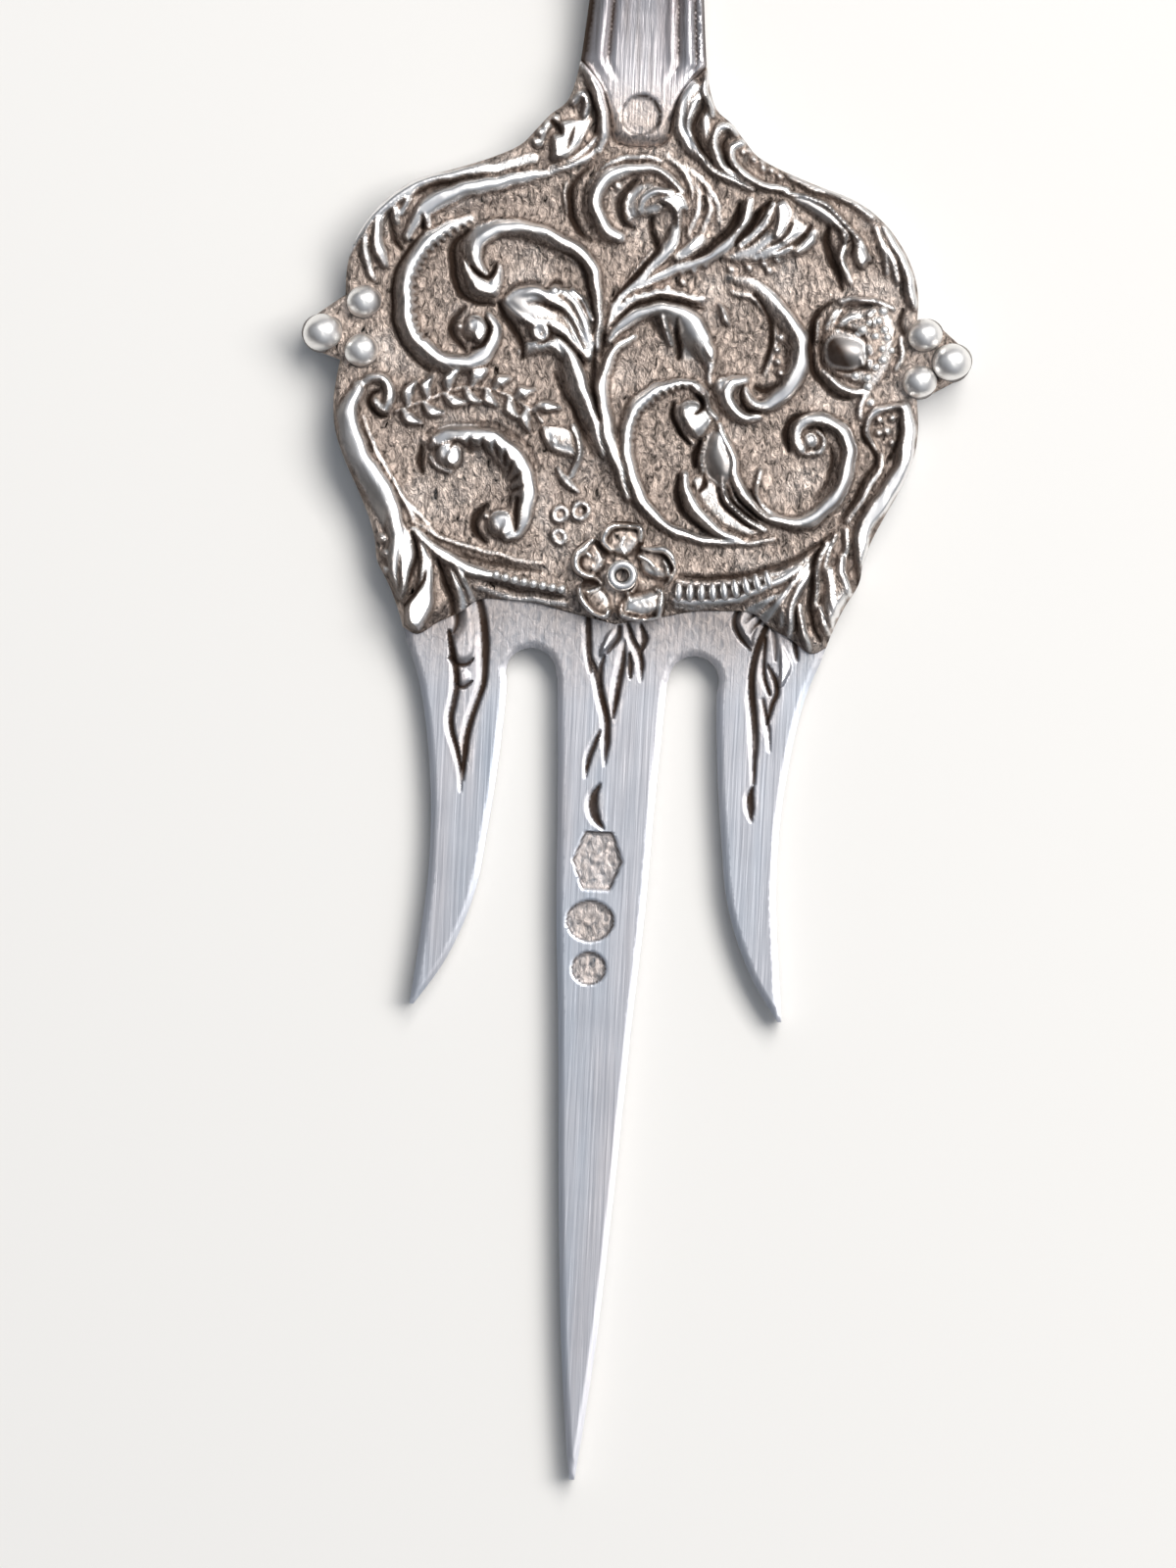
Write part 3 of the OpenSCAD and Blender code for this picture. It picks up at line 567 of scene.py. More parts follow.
# Spray on the centre tine
graved([(-1.32, -11.9), (-1.22, -13.2), (-1.02, -14.3)], (22, 22, 14), (24, 26, 10))
graved([(-1.05, -13.6), (-0.72, -14.7), (-0.52, -15.5), (-0.25, -16.4), (-0.18, -17.3), (-0.15, -18.5)],
       (8, 22, 24, 24, 24, 10), (8, 28, 28, 26, 24, 5))
leaf([(0.15, -12), (-0.3, -12.5), (-0.6, -13.2), (-0.6, -13.6), (-0.3, -13.3), (0, -12.8), (0.25, -12.3)],
     14, 14, tilt=0.7)
cut([(0.22, -12.2), (0.2, -12.7), (-0.05, -13.1), (-0.3, -13.45)], (20, 28, 20, 10), 16)
cut([(-0.42, -13.6), (-0.55, -14.2), (-0.5, -15)], (15, 26, 15), 16)
graved([(0.45, -12.9), (0.38, -13.8), (0.24, -14.6), (0.17, -15.4), (0.1, -16.3)], (20, 28, 28, 26, 12),
       (8, 20, 26, 22, 10))
graved([(0.5, -11.9), (0.78, -12.8), (1.04, -13.2), (1.24, -13.8), (1.3, -14.6)], (18, 24, 24, 24, 10),
       (10, 20, 22, 18, 5))
cut([(0.72, -13.4), (0.8, -13.9), (0.82, -14.5)], (12, 30, 12), 18)
graved([(1.15, -12.1), (1.28, -12.7), (1.22, -13.3)], (16, 22, 10), (12, 30, 10))
graved([(-0.48, -17), (-0.76, -17.7), (-0.95, -18.3), (-1, -19.1)], (10, 20, 20, 10), (10, 20, 20, 5))
graved([(-0.35, -19.4), (-0.68, -19.9), (-0.72, -20.5), (-0.52, -21), (-0.08, -21.4)], (12, 22, 24, 22, 10),
       (10, 36, 42, 36, 8))
# Three plain struck punches, each with a matted floor and nothing in it
PUNCH_DEPTH = 0.12
SIX_SIDED_X, SIX_SIDED_Y = -0.25, -22.85
struck_x, struck_y = np.meshgrid(plate_work.x, plate_work.y)
struck = np.zeros_like(plate_work.height)
for mark_x, mark_y, half_x, half_y in ((-0.45, -25.6, 1.1, 0.95), (-0.4, -27.75, 0.78, 0.76)):
    reach = ((struck_x - mark_x) / half_x) ** 2 + ((struck_y - mark_y) / half_y) ** 2
    struck = np.maximum(struck, np.clip((1 - reach) / 0.2, 0, 1))
from_middle = np.abs(struck_y - SIX_SIDED_Y)
slant = 1.15 - 0.38 * from_middle - np.abs(struck_x - SIX_SIDED_X)
struck = np.maximum(struck, np.clip(np.minimum(slant, 1.35 - from_middle) / 0.12, 0, 1))
plate_work.height -= PUNCH_DEPTH * struck
plate_work.height += struck * plate_work.grain(0.08, 0.012, 4)
# Dark colour: cut lines, and the painted shade on the graved lines' steep walls.
plate_recess_and_painted_shade = np.clip(plate_work.carved_and_painted_shade / 0.12 - 0.1, 0, 0.97)
# The punches' walls are darkened all round.
plate_recess_and_painted_shade = np.maximum(plate_recess_and_painted_shade, 0.85 * np.clip(4 * struck * (1 - struck), 0, 1))
spread = plate_work.blurred(np.clip(plate_work.carved_and_painted_shade / 0.12, 0, 1), 0.3)
plate_ground = np.clip(1.3 * spread - 0.1, 0, 0.6)
plate_ground = np.maximum(plate_ground, 0.7 * struck)
stained = np.clip((struck_y + 15.2) / 3.4 + plate_work.grain((1.2, 1.2), 0.16, 5), 0, 1)
plate_ground = np.maximum(plate_ground, 0.5 * stained)
plate_recess_and_painted_shade = np.maximum(plate_recess_and_painted_shade, 0.3 * stained)


def on_plate_work(points, field):
    worked = (points[:, 1] > -30.5) & (points[:, 1] < -9)
    return np.where(worked, plate_work.at(field, points), 0)


def plate_top(points, depth):
    bevel = EDGE_DROP * np.clip(1 - depth / EDGE_BEVEL, 0, 1)
    keep = np.clip(depth / EDGE_BEVEL, 0, 1)
    return PLATE_TOP - bevel + on_plate_work(points, plate_work.height) * keep


tine_plate = slab(
    "tine_plate_brushed",
    plate_loop,
    [(-52, -30, 0.45), (-30, -21.5, 0.1), (-21.5, -10.5, 0.065), (-10.5, 14, 0.6)],
    (0.12, 0.24, 0.32),
    plate_top,
    lambda points: np.zeros(len(points)),
    {
        "ground": (lambda points: on_plate_work(points, plate_ground), 0.1),
        "recess": (lambda points: on_plate_work(points, plate_recess_and_painted_shade), 0.05),
    },
)
# Painted reflection: the bright colour is darker and bluer than silver, for the blue-grey sky seen in the
# flat tines.
brushed_silver = silver("brushed_silver", 0.25, (0.46, 0.54, 0.63, 1), (0.68, 0.63, 0.63, 1), 0.014, 0.05)
finish_piece(tine_plate, brushed_silver, "brushed_silver", "tine_plate")

# Ornament plaque: thin silver struck in a die, then chased by hand and soldered over the head of the plate.
# Scrolls and acanthus stand bright over a matted ground, which is left dark where polishing never reached.
GROUND_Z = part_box("rosette")[0].z / MM
PLAQUE_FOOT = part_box("ornament_plaque")[0].z / MM
chased = Relief((-16, -14.4), (16, 14.4), 0.05, wander=0.03)
ridge, leaf, cut, ball, ring = chased.ridge, chased.leaf, chased.cut, chased.ball, chased.ring


def round_lobe(x, y, radius):
    angle = np.radians(np.arange(0, 360, 30))
    return np.stack([x + radius * np.cos(angle), y + radius * np.sin(angle)], 1)


def smooth_lobe_with_painted_shade(outline, strength):
    """A smooth lobe, free of matting, with painted shade that fades towards the window."""
    part, depth, lean = chased.shape(outline, 0.1)
    inner = np.clip(depth / 0.2, 0, 1)
    painted_lobe_shade[part] = np.maximum(painted_lobe_shade[part], strength * inner * np.clip(0.8 - 0.8 * lean, 0, 1))
    smoothed[part] = np.maximum(smoothed[part], inner)


painted_lobe_shade = np.zeros_like(chased.height)
smoothed = np.zeros_like(chased.height)

# Left shoulder: the bright rim, the thin outer rim and the lobes of the corner
ridge([(-4.2, 8.2), (-5, 8), (-6, 7.75), (-7, 7.5), (-8, 7.2), (-9, 6.7), (-9.65, 6.1), (-10, 5.5),
       (-10.25, 4.9)], (30, 50, 60, 65, 65, 50, 30), (25, 35, 45, 45, 45, 40, 25),
      (25, 40, 50, 58, 60, 55, 35), (15, 20, 28, 35, 45, 45, 25))
ridge([(-4.8, 8.75), (-6, 8.35), (-7.5, 8.05), (-9, 7.7), (-10, 7.25), (-11, 6.55), (-12, 5.5), (-12.6, 4.7),
       (-12.95, 4)], 30, 45, (25, 32, 36, 40, 40), 20)
ridge([(-9.95, 7.15), (-10.35, 6.6), (-10.6, 6)], 22, 20, (25, 45, 30), 20)
ridge([(-10.95, 6.4), (-10.85, 6), (-10.75, 5.6)], 20, 20, (25, 45, 30), 16)
ridge([(-9.6, 6.1), (-9.45, 5.8), (-9.35, 5.5)], 26, 22, (35, 52, 35), 25)
ridge([(-11.4, 5.9), (-11.6, 5.3), (-11.65, 4.7), (-11.45, 4.1), (-11.2, 3.65)], (20, 35, 45, 45, 25),
      (20, 30, 35, 35, 20), (30, 50, 55, 55, 35), (10, 20, 30, 40, 20))
ridge([(-12, 5.25), (-12.2, 4.6), (-12.05, 3.85), (-11.75, 3.1)], 28, 25, (25, 42, 42, 25), 20)
cut([(-11.15, 6), (-11.05, 5.5), (-10.85, 4.8), (-10.55, 4.3)], (12, 30, 34, 15), 26)
cut([(-9.72, 5.9), (-9.55, 5.3), (-9.5, 5)], (12, 25, 12), 22)
cut([(-10.3, 6.7), (-9.9, 6.9), (-9.2, 7.3), (-8.2, 7.6), (-7, 7.85)], (15, 30, 28, 24, 10), 20)
ridge([(-5, 7.15), (-6.5, 6.95), (-8, 6.45), (-9, 5.85)], 35, 35, (6, 12, 12, 6))

# Right shoulder: the thin rim, the bright hooked lobe and the lobes of the corner
leaf([(6.66, 7.7), (7.8, 7.62), (9, 6.95), (9.6, 6.4), (10.2, 5.75), (10.65, 5.05), (10.3, 4.45),
      (9.95, 4.75), (9.8, 5.4), (9.45, 6), (8.7, 6.4), (8.1, 6.8), (7.2, 7.3)], 50, 40)
ridge([(6.7, 7.75), (7.8, 7.62), (8.9, 7.05), (9.7, 6.35), (10.3, 5.6), (10.62, 5)], 14, 14,
      (30, 50, 56, 56, 56, 40), 16)
leaf([(10.1, 5.75), (10.45, 5.3), (10.6, 4.9), (10.3, 4.5), (10, 4.8), (9.95, 5.4)], 62, 12, tilt=0.85)
leaf([(9.33, 6.35), (9.55, 6.3), (9.66, 5.95), (9.5, 5.6), (9.33, 5.9)], 60, 10, tilt=0.9)
cut([(9.75, 6.2), (9.86, 5.6), (9.8, 5)], (10, 20, 10), 26)
ridge([(11.1, 6), (11.5, 5.35), (11.8, 4.7), (11.95, 4.1)], 26, 24, (25, 42, 42, 25), 18)
ridge([(11.3, 6.4), (12.05, 5.2), (12.4, 4.4), (12.6, 3.7), (12.8, 3.1)], 35, 30, (25, 42, 50, 55, 40),
      (12, 20, 26, 30, 20))
ridge([(10.9, 6.4), (11.2, 5.7), (11.4, 5), (11.5, 4.4)], 20, 20, (20, 35, 35, 20), 12)
ridge([(9.5, 5.6), (9.38, 5), (9.6, 4.4), (9.9, 3.9)], 25, 25, (25, 40, 38, 20), 12)
ridge([(6.9, 8.5), (8.2, 8), (9.6, 7.6), (10.6, 6.9)], 30, 25, (25, 30, 32, 30), 15)
cut([(8.75, 6.3), (8.65, 5.7), (8.85, 5.1), (9.3, 4.3), (9.5, 3.5)], (25, 50, 50, 38, 15), 30)
cut([(12.2, 4.2), (12.25, 3.6), (12.4, 3)], (10, 20, 10), 20)

# Leaves that hug the left of the stem's foot
ridge([(-2.85, 13.1), (-2.3, 12.6), (-1.95, 12), (-1.75, 11.3), (-1.65, 10.6), (-1.62, 10), (-1.75, 9.3)],
      (25, 32, 34, 32, 25), (25, 45, 42, 38, 25), (40, 60, 64, 62, 58, 48, 30), (20, 32, 36, 32, 20))
ridge([(-3.1, 11.4), (-2.65, 11.75), (-2.4, 11.3), (-2.55, 10.8)], 25, 25, (35, 50, 52, 40), 22)
leaf([(-2.1, 10.85), (-2.9, 10.65), (-3.7, 10.5), (-3.6, 10), (-3.95, 9.9), (-4, 9.2), (-4, 8.7),
      (-3.3, 8.75), (-2.7, 9.3), (-2.4, 9.9)], 50, 25, tilt=0.7)
ridge([(-3.85, 10.65), (-4.25, 10.2), (-4.45, 9.5)], 28, 25, (30, 42, 25))
cut([(-2.98, 10.2), (-3.05, 9.75), (-3.25, 9.2)], (10, 22, 10), 26)
cut([(-4, 10.5), (-3.65, 10.2), (-3.5, 9.9)], (30, 26, 10), 32)
ball((-4.5, 9.95), 50, 40)
ball((-4.68, 9.48), 50, 38)
ridge([(-1.65, 9.6), (-2.3, 8.95), (-3.2, 8.45), (-4.4, 8)], 18, 18, (25, 32, 32, 20), 10)
ridge([(-1.9, 9.9), (-2.4, 9.3), (-3, 8.8), (-4, 8.4)], 16, 16, (25, 34, 34, 20), 12)
cut([(-2.5, 12), (-2.15, 11.4), (-2.02, 10.7), (-2.05, 10)], (12, 26, 24, 10), 28)

# Leaves that hug the right of the stem's foot
leaf([(2.15, 12.9), (1.6, 12.2), (1.45, 11.3), (1.5, 10.4), (1.9, 9.6), (2.6, 8.95), (3.4, 8.5), (2.8, 9.3),
      (2.4, 10.1), (2.3, 10.9), (2.5, 11.7), (2.9, 12.4)], 42, 35)
ridge([(2.95, 12.9), (2.85, 12.3), (3.05, 11.7), (3.2, 11.1)], 25, 22, (40, 58, 55, 35), (20, 30, 26, 12))
ridge([(2.7, 12.1), (2.35, 11.5), (2.2, 10.9), (2.28, 10.3)], 25, 28, (40, 58, 60, 45), (15, 25, 25, 10))
ridge([(2.28, 10.3), (2.6, 9.5), (3.1, 8.85), (3.9, 8.4), (5.2, 7.9)], 20, 22, (45, 45, 42, 38, 25), 12)
cut([(2.75, 11.6), (2.5, 11), (2.45, 10.3), (2.75, 9.6), (3.3, 9)], (10, 28, 28, 24, 10), 28)
leaf([(2.95, 11.5), (2.65, 10.9), (2.68, 10.2), (3, 9.5), (3.5, 9.1), (3.35, 9.9), (3.3, 10.6)], 36, 40,
     tilt=-0.6)
ridge([(4.35, 10.4), (3.95, 10.7), (3.55, 10.45), (3.42, 9.9), (3.52, 9.3), (3.85, 8.8), (4.4, 8.45),
       (5, 8.1)], (20, 30, 30, 20), (18, 28, 28, 18), (35, 55, 62, 62, 58, 45, 35, 25),
      (20, 30, 30, 28, 20, 10))
ridge([(4.65, 9.95), (4.25, 9.75), (4.2, 9.25), (4.5, 8.75), (5, 8.35), (5.9, 8.05), (6.7, 7.9)], 26, 24,
      (35, 50, 56, 55, 50, 42, 35), (15, 25, 28, 26, 24, 20, 16))
cut([(4, 10.3), (3.8, 9.7), (3.95, 9.1), (4.4, 8.6)], (12, 30, 28, 10), 24)
for pearl in ((5, 9.6), (5.2, 9.2), (5.6, 8.85), (5.6, 9.15), (6, 8.75), (6.4, 8.5), (6.9, 8.45), (7.5, 8.3),
              (4.7, 9.5)):
    ball(pearl, 36, 26)

# Trunk: two ridges with a dark gap, from which the scrolls and leaves spring
ridge([(0.1, 0.95), (-0.5, 0.4), (-0.92, -0.4), (-1.1, -1.3), (-1.02, -2.2), (-0.82, -3.2), (-0.5, -4.2),
       (-0.15, -5.1), (0.3, -6.3)], (25, 40, 50, 50, 45, 40, 30), (15, 25, 32, 38, 38, 35, 25),
      (35, 55, 62, 64, 62, 55, 35), (12, 28, 38, 42, 40, 30, 18), teeth=(0.3, 0.35, 1, 0.3))
ridge([(-3.2, 0.6), (-2.6, 0), (-2.2, -0.75), (-1.88, -1.6), (-1.6, -2.4), (-1.3, -3.1), (-0.9, -4.4)],
      (20, 26, 28, 26, 24, 20), (40, 80, 90, 85, 70, 50, 30), (40, 58, 62, 62, 60, 55, 35),
      (20, 32, 34, 30, 26, 20), bow=(1.6, 1.3))
ridge([(-4.7, 0.2), (-4.1, 0.42), (-3.4, 0.4), (-2.9, 0)], 30, 50, (30, 46, 48, 40), 20)
cut([(-1.55, 0.4), (-1.6, -0.6), (-1.48, -1.7), (-1.2, -2.9)], (14, 26, 26, 12), 36)
cut([(-1.08, 1.6), (-1.15, 0.7), (-1.25, -0.1)], (12, 24, 12), 30)
# Painted shadow: this groove down the trunk's left side is coloured dark for the shade there.
cut([(-3.3, -0.9), (-2.9, -1.7), (-2.4, -2.5), (-1.9, -3.5), (-1.4, -4.6)], (15, 36, 36, 30, 12), 20)

# Scroll at the upper left and the lobed leaf beneath it
ridge([(-1.4, 0.3), (-1.4, 1.2), (-1.42, 2.1), (-1.5, 3), (-1.8, 4), (-2.5, 4.75), (-3.2, 5.15), (-4.1, 5.5),
       (-5, 5.68), (-5.9, 5.52), (-6.6, 5.2), (-7, 4.7), (-7.05, 4.2), (-6.88, 3.75), (-6.68, 3.4)],
      (25, 30, 40, 50, 55, 70, 75, 75, 65, 45, 35, 30, 20),
      (20, 22, 25, 28, 32, 35, 35, 38, 50, 75, 95, 80, 40),
      (50, 60, 62, 65, 65, 65, 62, 60, 60, 62, 62, 55, 35),
      (15, 18, 22, 30, 38, 40, 30, 26, 28, 32, 42, 42, 25), bow=(1.3, 1.3))
ridge([(-7.6, 3.95), (-7.25, 3.35), (-6.8, 2.88), (-6.38, 2.8), (-6.12, 3.15), (-6.02, 3.75)],
      (15, 25, 35, 40, 35, 20), (30, 50, 60, 50, 35, 20), (30, 45, 55, 55, 50, 30), (10, 20, 50, 60, 40, 15))
cut([(-7.35, 3.8), (-6.95, 3.35), (-6.6, 3.22), (-6.3, 3.55), (-6.15, 3.95)], (12, 24, 24, 20, 10), 32)
# Painted shadow: this groove round the scroll's outer left foot is coloured dark as its shadow.
cut([(-7.6, 5.35), (-8.1, 4.75), (-8.22, 4), (-8.05, 3.1), (-7.7, 2.5), (-7, 2.12), (-6.2, 2.05)],
    (20, 42, 48, 42, 36, 24, 14), 30)
cut([(-1.6, 1), (-1.72, 2), (-1.95, 3), (-2.32, 3.9), (-2.85, 4.42), (-3.6, 4.72)], (12, 24, 30, 32, 26, 10),
    26)
leaf([(-5.85, 2.25), (-5.3, 2.8), (-4.6, 2.98), (-3.9, 2.9), (-3.2, 2.95), (-2.7, 2.75), (-2.1, 2),
      (-1.75, 1), (-1.6, 0.2), (-1.7, -0.3), (-2.3, 0.3), (-3, 0.75), (-3.6, 0.7), (-4.4, 0.55), (-4.6, 1.1),
      (-5.1, 1.5)], 40, 40, tilt=0.25)
ridge([(-5.5, 2.3), (-4.9, 2.72), (-4.1, 2.72), (-3.4, 2.35), (-2.75, 1.7), (-2.25, 0.9), (-1.85, 0.1)], 32,
      32, (10, 20, 22, 22, 22, 18, 5), (20, 35, 30, 24, 24, 20, 10), base=36)
ridge([(-3, 2.75), (-2.4, 2.1), (-1.95, 1.2), (-1.7, 0.4)], 25, 25, (10, 22, 20, 5), (10, 22, 20, 10),
      base=36)
ridge([(-2.65, 2.85), (-2.1, 2.3), (-1.75, 1.6)], 14, 14, (10, 16, 10), 10, base=34)
ridge([(-5.35, 2.05), (-4.9, 1.6), (-4.2, 1.35), (-3.4, 1.3), (-2.8, 0.8), (-2.3, 0.25)], 26, 26,
      (10, 20, 20, 20, 18, 5), (15, 25, 20, 20, 20, 10), base=34)
cut([(-4.7, 2.15), (-4, 2.2), (-3.1, 1.85), (-2.5, 1.2), (-2, 0.3)], (14, 36, 34, 28, 10), 20)
cut([(-3.7, 0.98), (-3, 0.7), (-2.4, 0.05), (-1.95, -0.5)], (12, 26, 26, 10), 28)
ball((-3.5, 2.82), 62, 30, base=30)
ring((-4.02, 0.95), 60, 30, 26, base=30)
cut([(-3.1, 3.05), (-3.35, 3.25), (-3.75, 3.1)], (10, 20, 10), 24)
cut([(-3.72, 1.3), (-3.55, 0.95), (-3.75, 0.55), (-4.2, 0.42)], (10, 22, 22, 10), 26)
# Painted shadow: this groove along the leaf's lower left edge is coloured dark as its shadow.
cut([(-6, 2.2), (-5.6, 1.5), (-5.2, 0.9), (-4.9, 0.3), (-4.75, -0.3)], (20, 42, 44, 34, 14), 30)
cut([(-5.85, 2.5), (-5.2, 3.05), (-4.2, 3.14)], (12, 20, 10), 20)

# Large open scroll at the left, with teeth along its inner side
ridge([(-7.5, 5.9), (-8.4, 5.45), (-9.1, 4.9), (-9.65, 4.2), (-10, 3.4), (-10.1, 2.5), (-10.05, 1.7),
       (-9.85, 0.9), (-9.4, 0.2), (-8.7, -0.35), (-7.9, -0.6), (-7.1, -0.55), (-6.45, -0.15), (-6.1, 0.5),
       (-6.1, 1.1), (-6.35, 1.5)], (30, 50, 60, 65, 68, 68, 64, 60, 55, 50, 46, 50, 45, 25),
      (25, 45, 60, 72, 78, 78, 78, 75, 70, 65, 60, 55, 40, 25),
      (25, 42, 58, 65, 66, 66, 66, 64, 60, 60, 60, 60, 55, 35),
      (15, 22, 28, 32, 36, 38, 38, 36, 34, 34, 40, 50, 50, 25), bow=(1.6, 1.3), teeth=(0.38, 0.55, 1, 0.58))
leaf(round_lobe(-6.98, 0.95, 0.66), 50, 45, blend=10)
leaf([(-6.97, 1.38), (-6.55, 1.2), (-6.53, 0.5), (-6.85, 0.25), (-7.15, 0.6)], 56, 12, tilt=0.85)
ball((-7.75, 1.02), 30, 40)
cut([(-6.6, 1.45), (-6.42, 0.9), (-6.6, 0.2), (-7.1, -0.08)], (10, 24, 24, 10), 34)
# Painted shadow: this groove to the left of the bulb is coloured dark as its shadow.
cut([(-7.5, 1.95), (-8.05, 1.3), (-8, 0.6), (-7.35, -0.05)], (15, 38, 42, 14), 28)
# Painted shadow: this groove along the scroll's outer left foot is coloured dark as its shadow.
cut([(-9.6, 5.1), (-10.25, 4.3), (-10.72, 3.3), (-10.85, 2.3), (-10.75, 1.3), (-10.4, 0.3), (-9.75, -0.55),
     (-8.9, -1.15)], (12, 26, 28, 28, 28, 28, 26, 10), 24)

# Round scroll at the top with the curled leaf inside it
ridge([(-0.7, 5.45), (-1.25, 5.75), (-1.65, 6.35), (-1.78, 7), (-1.6, 7.65), (-1.15, 8.2), (-0.5, 8.5),
       (0.3, 8.6), (1.05, 8.45), (1.6, 8.1), (2, 7.6)], (40, 50, 55, 52, 46, 40, 35, 30, 22),
      (30, 36, 40, 40, 40, 36, 30, 25, 20), (40, 58, 65, 65, 60, 52, 46, 46, 40),
      (30, 36, 38, 36, 30, 20, 16, 16, 14), bow=(1.4, 1.4))
leaf([(-0.3, 6.1), (-0.55, 6.7), (-0.45, 7.4), (0, 7.9), (0.6, 8), (1.3, 7.8), (1.6, 7), (1.1, 6.5),
      (0.4, 6.3)], 30, 40)
leaf([(0.8, 7.15), (1.3, 7.45), (1.75, 7.62), (2.15, 7.4), (2.38, 6.9), (2.3, 6.6), (2.12, 6.7), (2.12, 6.1),
      (2.05, 5.7), (1.85, 5.95), (1.75, 6.5), (1.5, 6.85), (1.1, 7)], 56, 20, tilt=0.8)
ridge([(0.2, 6.6), (0.25, 7), (0.5, 7.35), (0.95, 7.55), (1.5, 7.6)], 22, 22, (40, 52, 56, 56, 45), 20)
ridge([(-0.35, 7.4), (-0.5, 6.8), (-0.3, 6.2)], 14, 14, (30, 42, 30), 10)
ridge([(1.95, 5.8), (1.7, 5.1), (1, 4.35), (0.35, 3.6), (-0.3, 2.9), (-0.7, 2.2), (-1.05, 1.2)],
      (30, 50, 45, 40, 30), (50, 60, 50, 35, 25), (40, 46, 44, 42, 40, 35, 28), 14)
ball((-0.9, 7.7), 45, 34)
cut([(-0.05, 8.1), (-0.55, 7.5), (-0.74, 6.8), (-0.6, 6.2), (-0.1, 5.8)], (14, 36, 46, 36, 12), 32)
cut([(0.75, 6.4), (0.7, 5.8), (0.98, 5.2), (1, 4.85), (0.6, 4.25), (0.05, 3.6), (-0.5, 2.95), (-0.85, 2.4)],
    (15, 30, 30, 30, 26, 24, 24, 12), 38)
cut([(-1.2, 5), (-2.2, 5.3), (-2.8, 6), (-3.02, 6.8), (-2.95, 7.5), (-2.4, 8.4), (-1.3, 9.15)],
    (15, 30, 42, 42, 34, 30, 15), (8, 16, 30, 32, 24, 14, 5))
ridge([(-1.8, 5.6), (-2.2, 6.3), (-2.3, 7), (-2.1, 7.8), (-1.6, 8.45), (-0.8, 8.95), (0.2, 9.12), (1, 8.95)],
      18, 20, (12, 20, 22, 25, 28, 32, 32, 20), 12, teeth=(0.34, 0.4, 1, 1))
ridge([(-3.15, 7.7), (-3.25, 7), (-3.1, 6.4)], 14, 14, (12, 24, 12), 10)
for strand in ([(2.5, 8.5), (2.85, 7.5), (2.75, 6.5), (2.5, 5.6)], [(3.2, 7.9), (3.35, 6.9), (3.15, 5.9)],
               [(2.1, 8.9), (2.9, 8.2), (3.6, 7.4), (3.8, 6.4)],
               [(1.3, 9.2), (2.2, 8.5), (2.5, 7.7), (2.5, 6.9)]):
    ridge(strand, 25, 25, (12, 24, 24, 14), 16, teeth=(0.5, 0.4, 1, 1))
ridge([(3, 5.5), (2.6, 5.1), (2, 4.6)], 32, 32, (25, 42, 30), 30)

# Acanthus fan at the upper right
ridge([(-0.5, 2.75), (0.3, 3.3), (1.2, 3.75), (2.2, 4.2), (3.2, 4.65), (4.1, 5.2), (4.75, 5.95), (5.05, 6.7),
       (5.15, 7.3)], 28, 35, (28, 35, 36, 38, 44, 50, 52, 45, 30), (10, 12, 16, 20, 26, 30, 26, 15))
leaf([(3.6, 4.6), (4.8, 5.5), (5.4, 6.5), (6.2, 7.3), (6.8, 7.6), (7.3, 7.2), (7.8, 6.5), (8.4, 6.1),
      (7.9, 5.3), (7, 4.8), (5.2, 4.4)], 34, 60)
cut([(2.6, 4.55), (3.4, 5.1), (4.1, 5.75), (4.5, 6.4), (4.65, 7.2)], (12, 40, 50, 46, 15), 42)
cut([(4.6, 5.4), (5.1, 6.15), (5.6, 6.85), (6.1, 7.4)], (12, 36, 36, 18), 38)
for facet, facet_tall in (
    ([(4.95, 7.2), (5.2, 7.1), (5.1, 6.5), (4.75, 5.9), (4.4, 5.5), (4.35, 5.7), (4.75, 6.4)], 50),
    ([(6.35, 7.2), (6.75, 7.4), (7.05, 6.9), (6.9, 6.2), (6.5, 5.6), (6.2, 5.7), (6.35, 6.4)], 56),
    ([(7.2, 6.75), (7.42, 6.4), (7.1, 5.8), (6.7, 5.4), (6.55, 5.6), (6.95, 6.2)], 50),
    ([(7.7, 5.75), (8.1, 6.05), (8.2, 5.6), (7.8, 5.2), (7.3, 4.95), (7.2, 5.15)], 52),
    ([(5.75, 7.1), (5.95, 7.1), (5.7, 6.5), (5.3, 5.9), (4.9, 5.4), (4.85, 5.55), (5.3, 6.3)], 48),
):
    leaf(facet, facet_tall, 12, tilt=0.6)
for rib in ([(6.2, 7.2), (5.8, 6.5), (5.35, 5.9), (4.8, 5.3)],
            [(6.75, 6.5), (6.35, 5.9), (5.8, 5.35), (5.1, 4.9)],
            [(7.3, 6.1), (6.85, 5.6), (6.2, 5.15), (5.5, 4.8)], [(7.2, 5.5), (6.6, 5.1), (5.9, 4.8)]):
    ridge(rib, 16, 16, (12, 18, 14, 4), 12, base=30)
for groove in ([(6.05, 7.2), (5.65, 6.5), (5.1, 5.8), (4.6, 5.3)],
               [(6.35, 6.9), (6.1, 6.3), (5.6, 5.7), (5, 5.2)],
               [(7.15, 6.5), (6.75, 5.8), (6.1, 5.3)], [(7.6, 6), (7.1, 5.5), (6.5, 5.1)]):
    cut(groove, (8, 18, 18, 6), 24)
cut([(7.95, 6.3), (7.6, 5.85), (7.2, 5.4)], (20, 30, 10), 36)
for pearl in ((2.2, 3.95), (2.75, 4.1), (3.2, 4.35), (1.6, 3.2), (2.3, 3.5), (5.9, 4.5), (6.5, 4.75),
              (5.2, 4.3), (4.4, 4.2), (5.7, 4.9), (6.2, 5.05), (6.1, 4.2)):
    ball(pearl, 40, 28)

